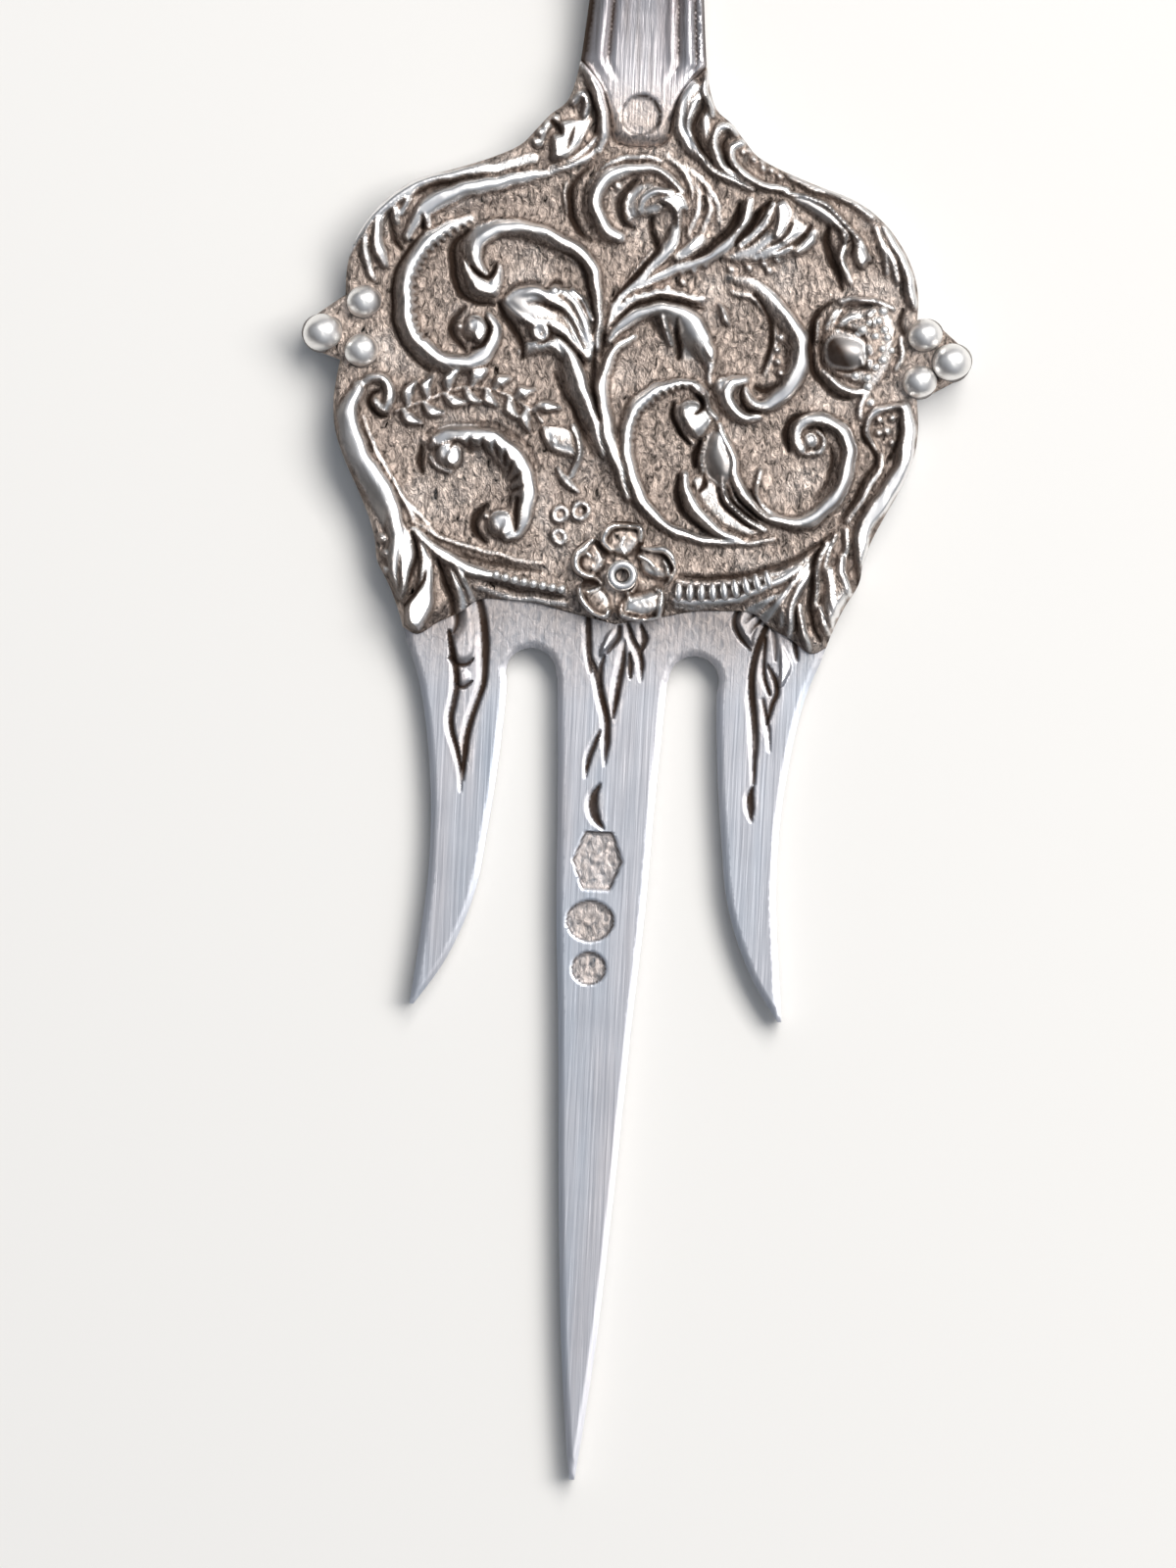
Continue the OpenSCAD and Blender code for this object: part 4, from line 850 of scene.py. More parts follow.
# Scroll of the right middle with its inner step
ridge([(4.4, 3.9), (5.2, 3.75), (5.9, 3.4), (6.6, 2.85), (7.2, 2.15), (7.65, 1.5), (7.95, 0.8), (7.9, 0.1),
       (7.6, -0.6), (7.2, -1.25), (6.6, -1.75), (6, -1.92), (5.6, -1.65), (5.4, -1.2)],
      (25, 35, 40, 40, 40, 40, 42, 46, 46, 42, 40, 30, 20),
      (40, 60, 75, 88, 90, 90, 85, 80, 75, 65, 50, 35, 20),
      (12, 20, 32, 46, 58, 62, 64, 64, 64, 62, 58, 52, 35),
      (5, 10, 16, 20, 25, 34, 45, 55, 55, 50, 45, 40, 20), bow=(1.6, 1.2))
ridge([(4.6, 3.2), (5.5, 2.95), (6.2, 2.25), (6.5, 1.3), (6.45, 0.4), (6.15, -0.35)], 30, 20,
      (15, 25, 28, 28, 25, 12), 14)
cut([(5.5, 3.1), (6.05, 2.5), (6.35, 1.7), (6.4, 0.9), (6.25, 0.2), (5.95, -0.4)], (12, 30, 34, 32, 30, 10),
    28)
for pearl in ((6.6, 2.2), (6.85, 1.75), (6.8, 1.2), (6.7, 0.65), (6.75, 0.1), (6.85, -0.4)):
    ball(pearl, 36, 42)
leaf(round_lobe(4.4, -1.2, 0.6), 50, 40)
ridge([(5.3, -0.78), (4.88, -0.95), (4.68, -1.35), (4.72, -1.75), (4.95, -2.12), (5.4, -2.38), (6, -2.42)],
      20, (25, 55, 70, 65, 50, 35, 20), (40, 60, 64, 64, 62, 50, 30), (30, 42, 50, 50, 42, 30, 15),
      bow=(1.6, 1.3))
cut([(5.25, -1.05), (5.18, -1.6), (5.45, -2.08), (6.2, -2.22)], (10, 24, 24, 8), 30)
cut([(6.9, -0.9), (6.3, -1.2), (5.85, -1.05)], (12, 50, 30), 24)

# Drooping leaf inside it, smooth and turned over at the tip
ridge([(-0.9, 1.5), (-0.4, 2.2), (0.3, 2.75), (1.2, 3), (2.2, 2.95), (3.2, 2.8)], 28, 22,
      (25, 36, 36, 34, 32, 20), 25, teeth=(0.42, 0.5, 1, 1))
ridge([(-0.9, 0.7), (-0.4, 1.45), (0.3, 2), (1.2, 2.3), (2.1, 2.25), (2.8, 1.95), (3.25, 1.4), (3.55, 0.75),
       (3.72, 0.1), (3.76, -0.4)], (20, 28, 30, 30, 34, 42, 42, 38, 28, 15),
      (25, 40, 45, 45, 50, 80, 110, 115, 80, 20), (40, 52, 56, 58, 62, 66, 66, 62, 50, 30),
      (15, 20, 20, 22, 25, 30, 40, 50, 40, 15), bow=(2, 2.4))
leaf([(3, 1.3), (3.5, 1), (3.95, 0.6), (3.85, 0), (3.65, 0), (3.25, 0.6)], 66, 14, tilt=0.85)
ridge([(1.5, 2.1), (1.58, 1.5), (1.85, 0.75)], 18, 20, (50, 60, 35), (34, 36, 12))
cut([(2.12, 1.85), (2.15, 1), (2.28, 0.1)], (14, 30, 22), 45)
cut([(0.9, 1.7), (1.2, 1.3), (1.5, 0.9)], (20, 40, 15), 14)
cut([(-0.8, 1.3), (-0.2, 2.05), (0.5, 2.5), (1.5, 2.66), (2.6, 2.5), (3.3, 2.3)], (12, 20, 20, 20, 12), 26)
leaf([(3.85, 2.7), (4.15, 2.55), (4.5, 1.95), (4.5, 1.65), (4.2, 1.8), (3.95, 2.3)], 50, 12, tilt=0.8)
ridge([(3.75, -0.2), (3.72, -0.6), (3.78, -1)], 16, 16, (40, 35, 20), 14)

# Bud scroll of the lower middle and the line that runs from it
ridge([(3.6, -1.5), (3.1, -1.12), (2.4, -1.1), (1.6, -1.32), (0.95, -1.85), (0.45, -2.5), (0.22, -3.2),
       (0.2, -4), (0.35, -5), (0.75, -6), (1.25, -6.8), (2, -7.45), (2.8, -7.85), (3.6, -8.05), (5, -8.15),
       (6, -8.1), (7, -7.9)], (20, 35, 50, 50, 45, 40, 35, 28, 24, 20, 15),
      (20, 40, 55, 60, 55, 50, 42, 32, 26, 20, 14), (35, 50, 58, 62, 64, 62, 58, 48, 36, 28, 20),
      (15, 30, 30, 30, 36, 38, 34, 28, 20, 12, 10), bow=(1.6, 1.4), teeth=(0.36, 0.5, 1, 0.36))
leaf([(2.3, -2.1), (2.7, -1.75), (3.3, -1.75), (3.8, -2.2), (4.05, -2.75), (3.7, -3.3), (3.15, -3.55),
      (2.65, -3.25), (2.32, -2.7)], 56, 50, tilt=0.35, blend=10)
ridge([(3.1, -1.3), (3.55, -1.65), (3.72, -2.2), (4.1, -2.6)], 16, 14, (45, 58, 55, 35), 20)
ridge([(2.28, -2.1), (2.35, -2.7), (2.7, -3.3), (3.1, -3.8)], 10, 10, (20, 32, 32, 20), 10)
cut([(3.05, -1.5), (3.4, -1.8), (3.42, -2.15), (3.15, -2.4)], (10, 24, 24, 10), 40)
cut([(2.1, -1.95), (2.15, -2.6), (2.45, -3.25), (2.95, -3.8)], (15, 28, 28, 12), 34)

# Large spiral leaf at the lower right with its side ridges
leaf([(4.3, -2.9), (4.75, -3.8), (5, -4.5), (5.05, -5.2), (4.6, -5.5), (4.1, -5.3), (3.7, -4.8),
      (3.55, -4.2), (3.75, -3.6)], 50, 60, tilt=-0.5)
leaf([(3, -5.3), (3.6, -5.2), (4.4, -5.5), (4.8, -6.3), (5.6, -7), (6.6, -7.6), (5.6, -7.9), (4.4, -7.4),
      (3.4, -6.5)], 28, 40)
ridge([(4.3, -2.9), (4.5, -3.4), (4.8, -3.85), (4.98, -4.4), (5.08, -5), (5.3, -5.55), (5.65, -6.1),
       (6.2, -6.6), (6.9, -6.98), (7.6, -7.1), (8.35, -6.98), (9, -6.6), (9.55, -6.05), (9.95, -5.4),
       (10.15, -4.7), (10.2, -4), (10.1, -3.35), (9.85, -2.85), (9.35, -2.5), (8.75, -2.35), (8.2, -2.5),
       (7.82, -2.9), (7.78, -3.4), (8.05, -3.8)], (20, 25, 30, 35, 42, 45, 45, 42, 38, 28),
      (15, 22, 25, 30, 50, 60, 62, 60, 50, 30), (35, 56, 64, 62, 60, 60, 60, 60, 58, 55, 40),
      (20, 34, 45, 36, 30, 30, 30, 30, 30, 36, 25), bow=(1.4, 1.3))
ridge([(2.85, -5.15), (2.95, -5.8), (3.22, -6.4), (3.7, -6.95), (4.25, -7.4), (4.9, -7.85), (5.6, -8.1)], 18,
      (25, 40, 44, 44, 40, 30, 20), (40, 58, 60, 56, 52, 42, 25), (25, 36, 36, 34, 30, 20, 10))
ridge([(4.55, -5.15), (4.6, -5.75), (4.82, -6.3), (5.2, -6.72), (5.8, -7.12), (6.5, -7.45)], 16, 18,
      (35, 56, 56, 54, 48, 30), 28)
ridge([(4.85, -5.5), (5.15, -6.2), (5.7, -6.75), (6.4, -7.15)], 10, 10, (20, 36, 36, 20), 10)
ridge([(6.2, -4.85), (6.12, -5.5), (6.2, -6.1), (6.55, -6.5), (7.05, -6.8)], 13, 13, (25, 44, 44, 44, 25),
      20)
ridge([(3.55, -3.7), (3.48, -4.3), (3.6, -4.9), (3.85, -5.6)], 10, 10, (35, 46, 42, 25), 14)
cut([(5.05, -5.7), (5.4, -6.35), (5.95, -6.8), (6.8, -7.2)], (8, 18, 18, 8), 30)
cut([(4.72, -5.7), (4.98, -6.3), (5.45, -6.75), (6.2, -7.2)], (8, 18, 18, 8), 28)
cut([(4.3, -5.6), (4.45, -6.2), (4.85, -6.75), (5.5, -7.2), (6.2, -7.55)], (10, 26, 26, 22, 8), 24)
cut([(5.85, -5.75), (6.15, -6.35), (6.8, -6.85)], (8, 20, 8), 26)
cut([(3.4, -3.6), (3.22, -4.15), (3.28, -4.8)], (20, 42, 20), 50)
cut([(2.5, -5.2), (2.46, -6), (2.75, -6.75), (3.35, -7.35), (4.2, -7.85)], (15, 36, 36, 30, 10), 30)
cut([(3.68, -5.1), (3.75, -5.6), (3.45, -6)], (12, 30, 12), 36)
ball((8.35, -3.4), 90, 46)
cut([(8.3, -2.1), (7.5, -2.4), (7.25, -3.1), (7.5, -3.9)], (10, 36, 42, 16), 30)
cut([(9.3, -3.5), (9.45, -4.3), (9.25, -5.2), (8.8, -5.9)], (10, 30, 28, 10), 24)
cut([(8.2, -2.85), (8.8, -2.8), (9.1, -3.3)], (10, 24, 10), 26)
ridge([(8.3, -4), (8.9, -3.8), (9, -3.2), (8.6, -2.85)], 15, 15, (20, 32, 32, 20), 12)

# Right side rim with its small loop
ridge([(12.6, -1.7), (12.78, -2.5), (12.8, -3.4), (12.68, -4.25), (12.38, -5), (11.95, -5.75), (11.5, -6.4),
       (11.12, -7.1), (10.97, -7.8), (11, -8.4), (11.13, -9), (11.18, -9.8)],
      (40, 60, 65, 65, 60, 55, 45, 35), (30, 42, 46, 50, 50, 46, 40, 30), (50, 62, 64, 64, 64, 62, 56, 42),
      (35, 45, 46, 48, 55, 50, 42, 30), bow=(2.2, 1.6))
ridge([(11.3, -3.6), (10.98, -2.95), (11, -2.25), (11.4, -1.8), (12, -1.62), (12.6, -1.65)], 20, 22,
      (30, 42, 46, 48, 50, 50), 16)
for pearl, pearl_d in (((11.45, -2.25), 40), ((12, -2.15), 36), ((11.85, -2.75), 46), ((11.5, -2.85), 36),
                       ((12.1, -3.3), 36)):
    ball(pearl, pearl_d, 34)
cut([(12.35, -2.2), (12.42, -2.9), (12.25, -3.6), (11.95, -4.1)], (10, 26, 24, 10), 26)
cut([(10.8, -2.4), (10.8, -3), (11.25, -3.65), (11.4, -4.1), (11, -4.9), (10.5, -5.9), (9.95, -7)],
    (10, 30, 26, 26, 28, 24, 10), 26)
ridge([(11.65, -3.9), (11.6, -4.6), (11.15, -5.4), (10.7, -6.2), (10.35, -6.9)], 22, 20,
      (20, 32, 32, 28, 15), 14)
ridge([(10.6, -2.2), (10.6, -1.6), (10.9, -1.1)], 20, 20, (25, 36, 25), 14)

# Left side rim, broad and smooth out to the edge, with its small volute
ridge([(-12.1, -2.1), (-12.3, -2.8), (-12.32, -3.5), (-12.05, -4.2), (-11.72, -4.9), (-11.22, -5.6),
       (-10.75, -6.3), (-10.35, -7), (-10.1, -7.6), (-9.95, -8.2), (-9.95, -9.2), (-9.95, -10.2),
       (-9.8, -11.2)], (30, 36, 36, 36, 34, 32, 30, 30, 25), (50, 90, 120, 125, 110, 90, 70, 60, 40),
      (50, 62, 64, 62, 60, 58, 55, 50, 35), (25, 36, 38, 42, 45, 45, 40, 35, 20), bow=(1.5, 1.9))
ridge([(-11.85, -3.3), (-11.5, -4.2), (-11, -5.1), (-10.4, -6), (-9.8, -7), (-9.3, -7.8)], 16, 16,
      (15, 26, 28, 28, 28, 20), 12)
ridge([(-11.3, -4.9), (-10.6, -5.9), (-9.9, -6.8), (-9, -7.7), (-8.1, -8.5)], 15, 15, (10, 18, 20, 20, 12),
      10)
ridge([(-12, -1.85), (-11.5, -1.5), (-11, -1.5), (-10.7, -1.95), (-10.68, -2.5), (-10.95, -2.88),
       (-11.3, -2.6)], (20, 25, 25, 20), (20, 35, 40, 25), (30, 46, 54, 56, 56, 50, 35),
      (12, 20, 36, 42, 25))
cut([(-11.2, -2.05), (-11.55, -2.25), (-11.65, -2.7), (-11.2, -3.15), (-10.75, -3.2)], (10, 24, 26, 24, 10),
    30)
for knob_x, knob_y in ((-10.75, -8.75), (-10.5, -9.4), (-10.5, -10.2)):
    ball((knob_x, knob_y), 50, 42)

# Hooked scroll at the lower left, fluted across its inner side
ridge([(-8.5, -4.2), (-7.8, -3.9), (-7, -3.82), (-6.1, -3.88), (-5.3, -4.25), (-4.65, -4.85), (-4.28, -5.5),
       (-4.15, -6.2), (-4.15, -6.9), (-4.3, -7.6), (-4.6, -8.15), (-5.1, -8.4)],
      (30, 36, 36, 36, 38, 36, 25), (35, 60, 80, 100, 110, 105, 80, 35), (45, 58, 62, 66, 66, 62, 50),
      (50, 60, 60, 62, 66, 66, 62, 50), bow=(2, 1.2))
for flute in ([(-7.05, -4), (-6.9, -4.5)], [(-6.45, -4.05), (-6.25, -4.65)], [(-5.9, -4.15), (-5.65, -4.85)],
              [(-5.4, -4.45), (-5.3, -5.15)], [(-4.95, -4.95), (-5.2, -5.6)], [(-4.65, -5.5), (-5.1, -5.95)],
              [(-4.5, -6.1), (-5.05, -6.4)]):
    cut(flute, (16, 32, 26), (14, 24, 16))
leaf(round_lobe(-7.95, -4.8, 0.74), 50, 50, blend=10)
leaf([(-7.8, -4.35), (-7.3, -4.4), (-7.3, -5.05), (-7.7, -5.4), (-8.1, -5.2), (-8, -4.75)], 56, 14,
     tilt=0.85)
leaf(round_lobe(-5.38, -7.82, 0.74), 50, 50, blend=10)
leaf([(-5.2, -7.15), (-4.95, -7.6), (-4.82, -8.1), (-5.1, -8.45), (-5.5, -8.35), (-5.35, -7.8)], 56, 14,
     tilt=0.85)
cut([(-7.85, -4.6), (-7.7, -4.25), (-7.45, -4.2), (-7.15, -4.4), (-6.85, -4.7)], (8, 14, 16, 16, 8), 26)
ball((-8.72, -4.45), 36, 42)
ball((-6.12, -7.5), 30, 36)
ridge([(-8.75, -5), (-8.4, -5.42), (-7.8, -5.56)], 16, 16, (20, 30, 20), 10)
cut([(-7.45, -4.4), (-7.3, -4.85), (-7.5, -5.3)], (8, 16, 8), 20)
cut([(-4.76, -8.2), (-4.7, -7.5), (-4.72, -6.7)], (8, 34, 30), 32)
# Painted shadow: this groove left of the upper bulb is coloured dark as its shadow.
cut([(-9.2, -4.4), (-9.25, -5), (-9.05, -5.7)], (15, 46, 15), 28)
# Painted shadow: this groove left of the lower bulb is coloured dark as its shadow.
cut([(-6.1, -7), (-6.6, -7.55), (-6.55, -8.2), (-6, -8.7)], (15, 46, 44, 14), 32)
cut([(-8.9, -3.9), (-7.8, -3.45), (-6.6, -3.35), (-5.4, -3.6), (-4.4, -4.3), (-3.8, -5.3)],
    (12, 30, 30, 28, 24, 10), 14)

# Garland of plain leaves above the hooked scroll, set in pairs along a stalk
garland = smooth_path([(-10.4, -3), (-9.3, -2.5), (-8, -1.95), (-6.8, -1.7), (-5.6, -1.95), (-4.4, -2.5),
                       (-3.7, -3.2)], 0.05)
ridge(garland[::6], 15, 15, 22)
for k in range(6, len(garland) - 8, 20):
    ahead = garland[k + 4] - garland[k - 4]
    ahead = ahead / np.linalg.norm(ahead)
    aside = np.array([-ahead[1], ahead[0]])
    for turn in (-1, 1):
        length = 0.66 + 0.14 * np.sin(2.1 * k + turn)
        root = garland[k] + turn * 0.05 * aside + 0.12 * (1 + turn) * ahead
        tip = root + length * ahead + turn * (0.7 + 0.1 * np.sin(1.3 * k)) * aside
        middle = (root + tip) / 2 + turn * 0.1 * aside - 0.06 * ahead
        ridge([root, middle, tip], (12, 34, 12), (12, 34, 12), (36, 60, 46), (15, 62, 20))
leaf([(-3.75, -3.3), (-3, -3.2), (-2.35, -3.45), (-2.1, -4.1), (-2.2, -4.75), (-2.9, -4.6), (-3.55, -4.35),
      (-3.85, -3.85)], 34, 30)
ridge([(-2.3, -3.3), (-2, -4), (-2.05, -4.8), (-2.25, -5.5)], 18, 18, (30, 50, 50, 30), 40)
ridge([(-2.9, -5.2), (-2.45, -5.8), (-1.95, -6.2)], (10, 26, 10), (10, 26, 10), (20, 50, 25), 40)
ball((-3.2, -3.95), 42, 20, base=25)
for flower_x, flower_y, flower_d in ((-1.85, -7.05, 70), (-2.75, -7.3, 60), (-2.75, -8.3, 55)):
    ring((flower_x, flower_y), flower_d, 30, 34)
    ball((flower_x, flower_y), 34, 20)

# Lower rims beside the rosette
ridge([(-9.3, -8.3), (-8.6, -8.85), (-7.8, -9.4), (-7, -9.8), (-6.2, -10.05), (-5.5, -10.18)],
      (20, 32, 32, 25), (25, 40, 40, 30), (35, 50, 50, 42), (20, 36, 36, 25), bow=(2, 2))
ridge([(-9.4, -7.9), (-8.4, -8.4), (-7.4, -8.8), (-6.2, -9.05), (-4.6, -9.4), (-3.4, -9.5)], 16, 16,
      (15, 24, 24, 20, 18, 10), 12)
cut([(-7.6, -9.15), (-6.4, -9.5), (-5, -9.75), (-3.4, -9.9)], (10, 26, 26, 10), 18)
ridge([(-5.7, -10.2), (-4.6, -10.4), (-3.6, -10.55), (-2.5, -10.7)], 30, 30, 24)
ridge([(-6.3, -10.75), (-5.3, -11.05), (-4.4, -11.2), (-2.4, -11.3)], 26, 24, (15, 26, 28, 28))
cut([(-6, -10.5), (-4.6, -10.8), (-2.6, -10.98)], (12, 26, 26), 18)
ridge([(2.65, -10.95), (4.8, -10.85), (6, -10.45), (7, -9.95), (8.2, -9.15)], 24, 22, (28, 34, 38, 40, 30),
      18)
ridge([(2.65, -11.2), (4, -11.17), (5, -11.05)], 16, 16, (20, 24, 12), 12, teeth=(0.4, 0.5, 1, 1))
ridge([(2.65, -10.05), (4.6, -10.05), (6.2, -9.75), (7.6, -9.3), (8.6, -8.7)], 18, 24, (16, 20, 22, 24, 16))
cut([(2.7, -9.8), (4.6, -9.78), (6.2, -9.45), (7.6, -8.95), (8.8, -8.2), (9.7, -7.4)],
    (10, 28, 30, 32, 30, 10), 22)

# Corner leaves at the left, which run on to the side tine
leaf([(-9.85, -7.8), (-9.5, -8.3), (-9.25, -9.2), (-9.25, -10.2), (-9.5, -11.1), (-9.8, -11.5),
      (-9.85, -10.3), (-9.95, -9.2)], 58, 12, tilt=0.85)
leaf([(-9.2, -8.5), (-8.7, -8.8), (-8.4, -9.5), (-8.3, -10.4), (-8.28, -11.4), (-8.45, -12.2),
      (-8.85, -12.85), (-9.3, -12.6), (-9.5, -11.8), (-9.1, -11), (-8.95, -10), (-9.1, -9.2)], 58, 12,
     tilt=0.85)
cut([(-9.4, -8.35), (-9.18, -9.3), (-9.3, -10.3), (-9.6, -11.1)], (8, 20, 18, 8), 32)
cut([(-8.66, -10.1), (-8.78, -10.6), (-9.2, -11.3), (-9.6, -11.8)], (8, 22, 22, 10), 34)
leaf([(-7.9, -9.7), (-7.2, -10.3), (-6.75, -11), (-6.5, -12), (-6.45, -13), (-7.1, -13), (-7.2, -12),
      (-7.35, -11)], 36, 20, tilt=0.4)
ridge([(-8.3, -9), (-7.6, -9.6), (-7, -10.3), (-6.6, -11), (-6.35, -11.8), (-6.2, -12.6)], 14, 20,
      (20, 38, 50, 50, 45, 35), 26)
cut([(-8.2, -9.5), (-7.85, -10.4), (-7.5, -11.3), (-7.3, -12.4)], (12, 34, 36, 14), 34)

# Corner leaves at the right
ridge([(8.6, -9), (7.9, -9.9), (7.2, -10.9), (6.6, -11.5), (6.2, -12)], 20, 18, (30, 45, 48, 42, 25), 16)
ridge([(7.4, -10.4), (6.7, -10.8), (6, -11.15)], 16, 16, (25, 42, 30), 14)
ridge([(7.5, -10.7), (6.85, -11.5), (6.4, -12)], 16, 16, (25, 44, 30), 14)
leaf([(7.2, -10.3), (6.3, -10.75), (5.65, -11.1), (5.65, -11.5), (6.2, -12.1), (6.7, -11.5)], 32, 35)
leaf([(8.8, -9.2), (8.2, -10), (7.9, -10.8), (7.75, -11.8), (7.3, -12), (7.2, -11.2), (7.6, -10.2),
      (8.3, -9.3)], 34, 35)
ridge([(8.75, -9.3), (8.3, -10), (8.02, -10.8), (7.9, -11.6), (7.9, -12.5)], 24, 26, (30, 52, 55, 50, 30),
      (15, 26, 30, 28, 15))
ridge([(8.35, -10.9), (8.4, -11.6), (8.6, -12.2), (8.85, -12.8)], 20, 20, (30, 48, 48, 30), 20)
ridge([(9.35, -8), (9.05, -9), (9, -10), (9.05, -10.8)], 18, 18, (30, 46, 44, 25), 14)
ridge([(9.75, -7.6), (9.5, -8.4), (9.35, -9.2)], 16, 16, (25, 40, 25), 12)
ridge([(10.25, -7.3), (10.3, -8), (10.15, -8.6)], 18, 18, (25, 44, 25), 16)
leaf([(10.4, -8.2), (9.8, -8.9), (9.4, -9.6), (9.3, -10.6), (9.5, -11.6), (9.9, -12), (10.2, -11.2),
      (10.6, -10.2)], 40, 35, tilt=0.3)
ridge([(9.6, -9.2), (9.7, -10.2), (10, -11.1)], 24, 22, (12, 22, 18), 20, base=34)
ridge([(10.1, -8.6), (10.2, -9.4), (10.5, -10.2)], 20, 20, (12, 20, 12), 16, base=34)
ridge([(9.3, -10.9), (9.45, -11.6), (9.8, -12.3)], 20, 20, (25, 42, 25), 16)
cut([(9.2, -8), (8.85, -8.9), (8.8, -9.8), (8.8, -10.8), (8.95, -11.7), (9.3, -12.4)],
    (10, 28, 30, 30, 26, 10), 36)
cut([(8.2, -10.8), (8.12, -11.5), (8.25, -12.2)], (8, 20, 10), 28)

# Seed pod at the right edge: petals folded round a smooth bud, with seeds beside it
leaf([(9.2, 2), (9.8, 2.65), (10.9, 2.95), (11.8, 2.5), (12.1, 1.3), (11.8, 0), (11.2, -0.9), (10.4, -0.7),
      (9.4, -0.3), (8.8, 0.3), (8.75, 1.2)], 24, 40)
POD_DOME = [(8.72, 0.75), (8.85, 1.2), (9.3, 1.5), (9.9, 1.58), (10.5, 1.4), (10.85, 1), (10.85, 0.45),
            (10.5, 0.05), (9.9, -0.12), (9.3, -0.08), (8.88, 0.25)]
leaf(POD_DOME, 56, 85)
for glint in ([(10.68, 1.2), (10.9, 1.1), (11.05, 0.75), (10.85, 0.55), (10.68, 0.8)],
              [(10.42, 0.52), (10.62, 0.5), (10.66, 0.12), (10.45, 0.08)],
              [(10.7, 0.45), (11.02, 0.4), (10.95, 0), (10.72, -0.05)],
              [(10.5, 2.5), (10.75, 2.75), (11.1, 2.75), (11, 2.55), (10.7, 2.28)],
              [(10.85, 2.3), (11.1, 2.42), (11.25, 2.1), (11.05, 1.9), (10.88, 1.95)]):
    leaf(glint, 52, 10, tilt=0.9)
ridge([(8.5, 2.1), (8.42, 1.7), (8.38, 1.25)], 12, 12, (25, 44, 25), 18)
ridge([(9.3, 2.55), (9.05, 2.15), (8.85, 1.7)], 13, 13, (30, 48, 30), 20)
ridge([(9.6, 2.75), (9.3, 2.2), (9.05, 1.6)], 10, 10, (20, 34, 20), 10)
ridge([(9.4, 1.65), (9.6, 2.05), (9.95, 2.3), (10.45, 2.42)], 14, 14, (35, 46, 42, 30), 18)
cut([(9.25, 1.75), (9.9, 1.75), (10.5, 1.5), (10.75, 1.1)], (12, 22, 20, 10), 24)
cut([(9.3, -0.1), (9.9, -0.15), (10.5, 0), (10.8, -0.15)], (12, 22, 20, 10), 24)
cut([(9.5, 2.7), (10, 2.8), (10.6, 2.95), (11.3, 2.95)], (10, 20, 20, 10), 22)
ridge([(9.4, 3), (10.2, 3.15), (11, 3.1), (11.8, 2.8)], 18, 18, (25, 38, 38, 25), 14)
ridge([(8.95, -0.25), (9.5, -0.75), (10.2, -1.05), (10.8, -1)], 24, 22, (25, 40, 40, 25), 20)
cut([(9.1, 3), (8.5, 2.5), (8.22, 1.7), (8.2, 0.7), (8.5, -0.4), (9.2, -1.1), (10.1, -1.4)],
    (12, 34, 40, 40, 38, 34, 12), 32)
cut([(8.75, 1.7), (8.6, 0.9), (8.85, 0), (9.6, -0.5)], (10, 20, 22, 10), 22)
cut([(12.3, 2.8), (12.15, 2.1), (12.45, 1.6)], (12, 26, 12), 26)
ridge([(12.3, 1.5), (12.4, 0.8), (12.1, 0.1)], 20, 20, (20, 32, 20), 14)

# Room for the rosette and the beads, then the swell of the sheet round the work and the matted ground
ROSETTE_X, ROSETTE_Y = 0.2, -9.9
ROSETTE_EDGE = [(2.72, -9.5), (2.62, -9), (2.35, -8.6), (1.9, -8.42), (1.4, -8.5), (1.1, -8.55),
                (1.15, -8.05), (1.02, -7.6), (0.5, -7.45), (-0.2, -7.45), (-0.6, -7.65), (-0.85, -8.15),
                (-0.9, -8.45), (-1.15, -8.2), (-1.55, -8.4), (-2.02, -8.85), (-2.15, -9.4), (-1.95, -9.9),
                (-1.55, -10.2), (-1.8, -10.55), (-1.78, -11), (-1.4, -11.5), (-0.8, -11.85), (-0.3, -11.85),
                (-0.05, -11.55), (0.2, -11.85), (0.9, -11.95), (1.7, -11.85), (2.15, -11.6), (2.25, -10.9),
                (2.15, -10.35), (2.45, -10.1)]
SIDE_BEADS = (
    ("left_beads", ((-12.1, 1.9, 1.5), (-12.1, -0.3, 1.5), (-13.9, 0.4, 1.7))),
    ("right_beads", ((13.35, 1.65, 1.5), (13.2, -0.45, 1.5), (14.6, 0.5, 1.7))),
)
chased.height += 0.4 * chased.blurred(np.maximum(chased.height, 0), 0.55)
chased.clear(ROSETTE_EDGE, 15)
for _, spots in SIDE_BEADS:
    for spot_x, spot_y, spot_d in spots:
        chased.clear(round_lobe(spot_x, spot_y, spot_d / 2), 12)
chased.height = chased.blurred(chased.height, 0.04)
matted = np.clip(1 - chased.height / 0.4, 0, 1)
broad = chased.blurred(chased.height, 0.25)
close = chased.blurred(chased.height, 0.12)
rise_y, rise_x = np.gradient(chased.blurred(chased.height, 0.06), chased.step)
# Painted shade: slopes turned away from the window are darkened in colour.
painted_lee_shade = np.clip((rise_x * WINDOW_SIDE[0] + rise_y * WINDOW_SIDE[1]) / 0.55 - 0.2, 0, 1)
foot = np.clip((close - chased.height) / 0.12 - 0.15, 0, 1)
pocket = np.clip((chased.blurred(chased.height, 0.8) - chased.height) / 0.3 - 0.15, 0, 1)
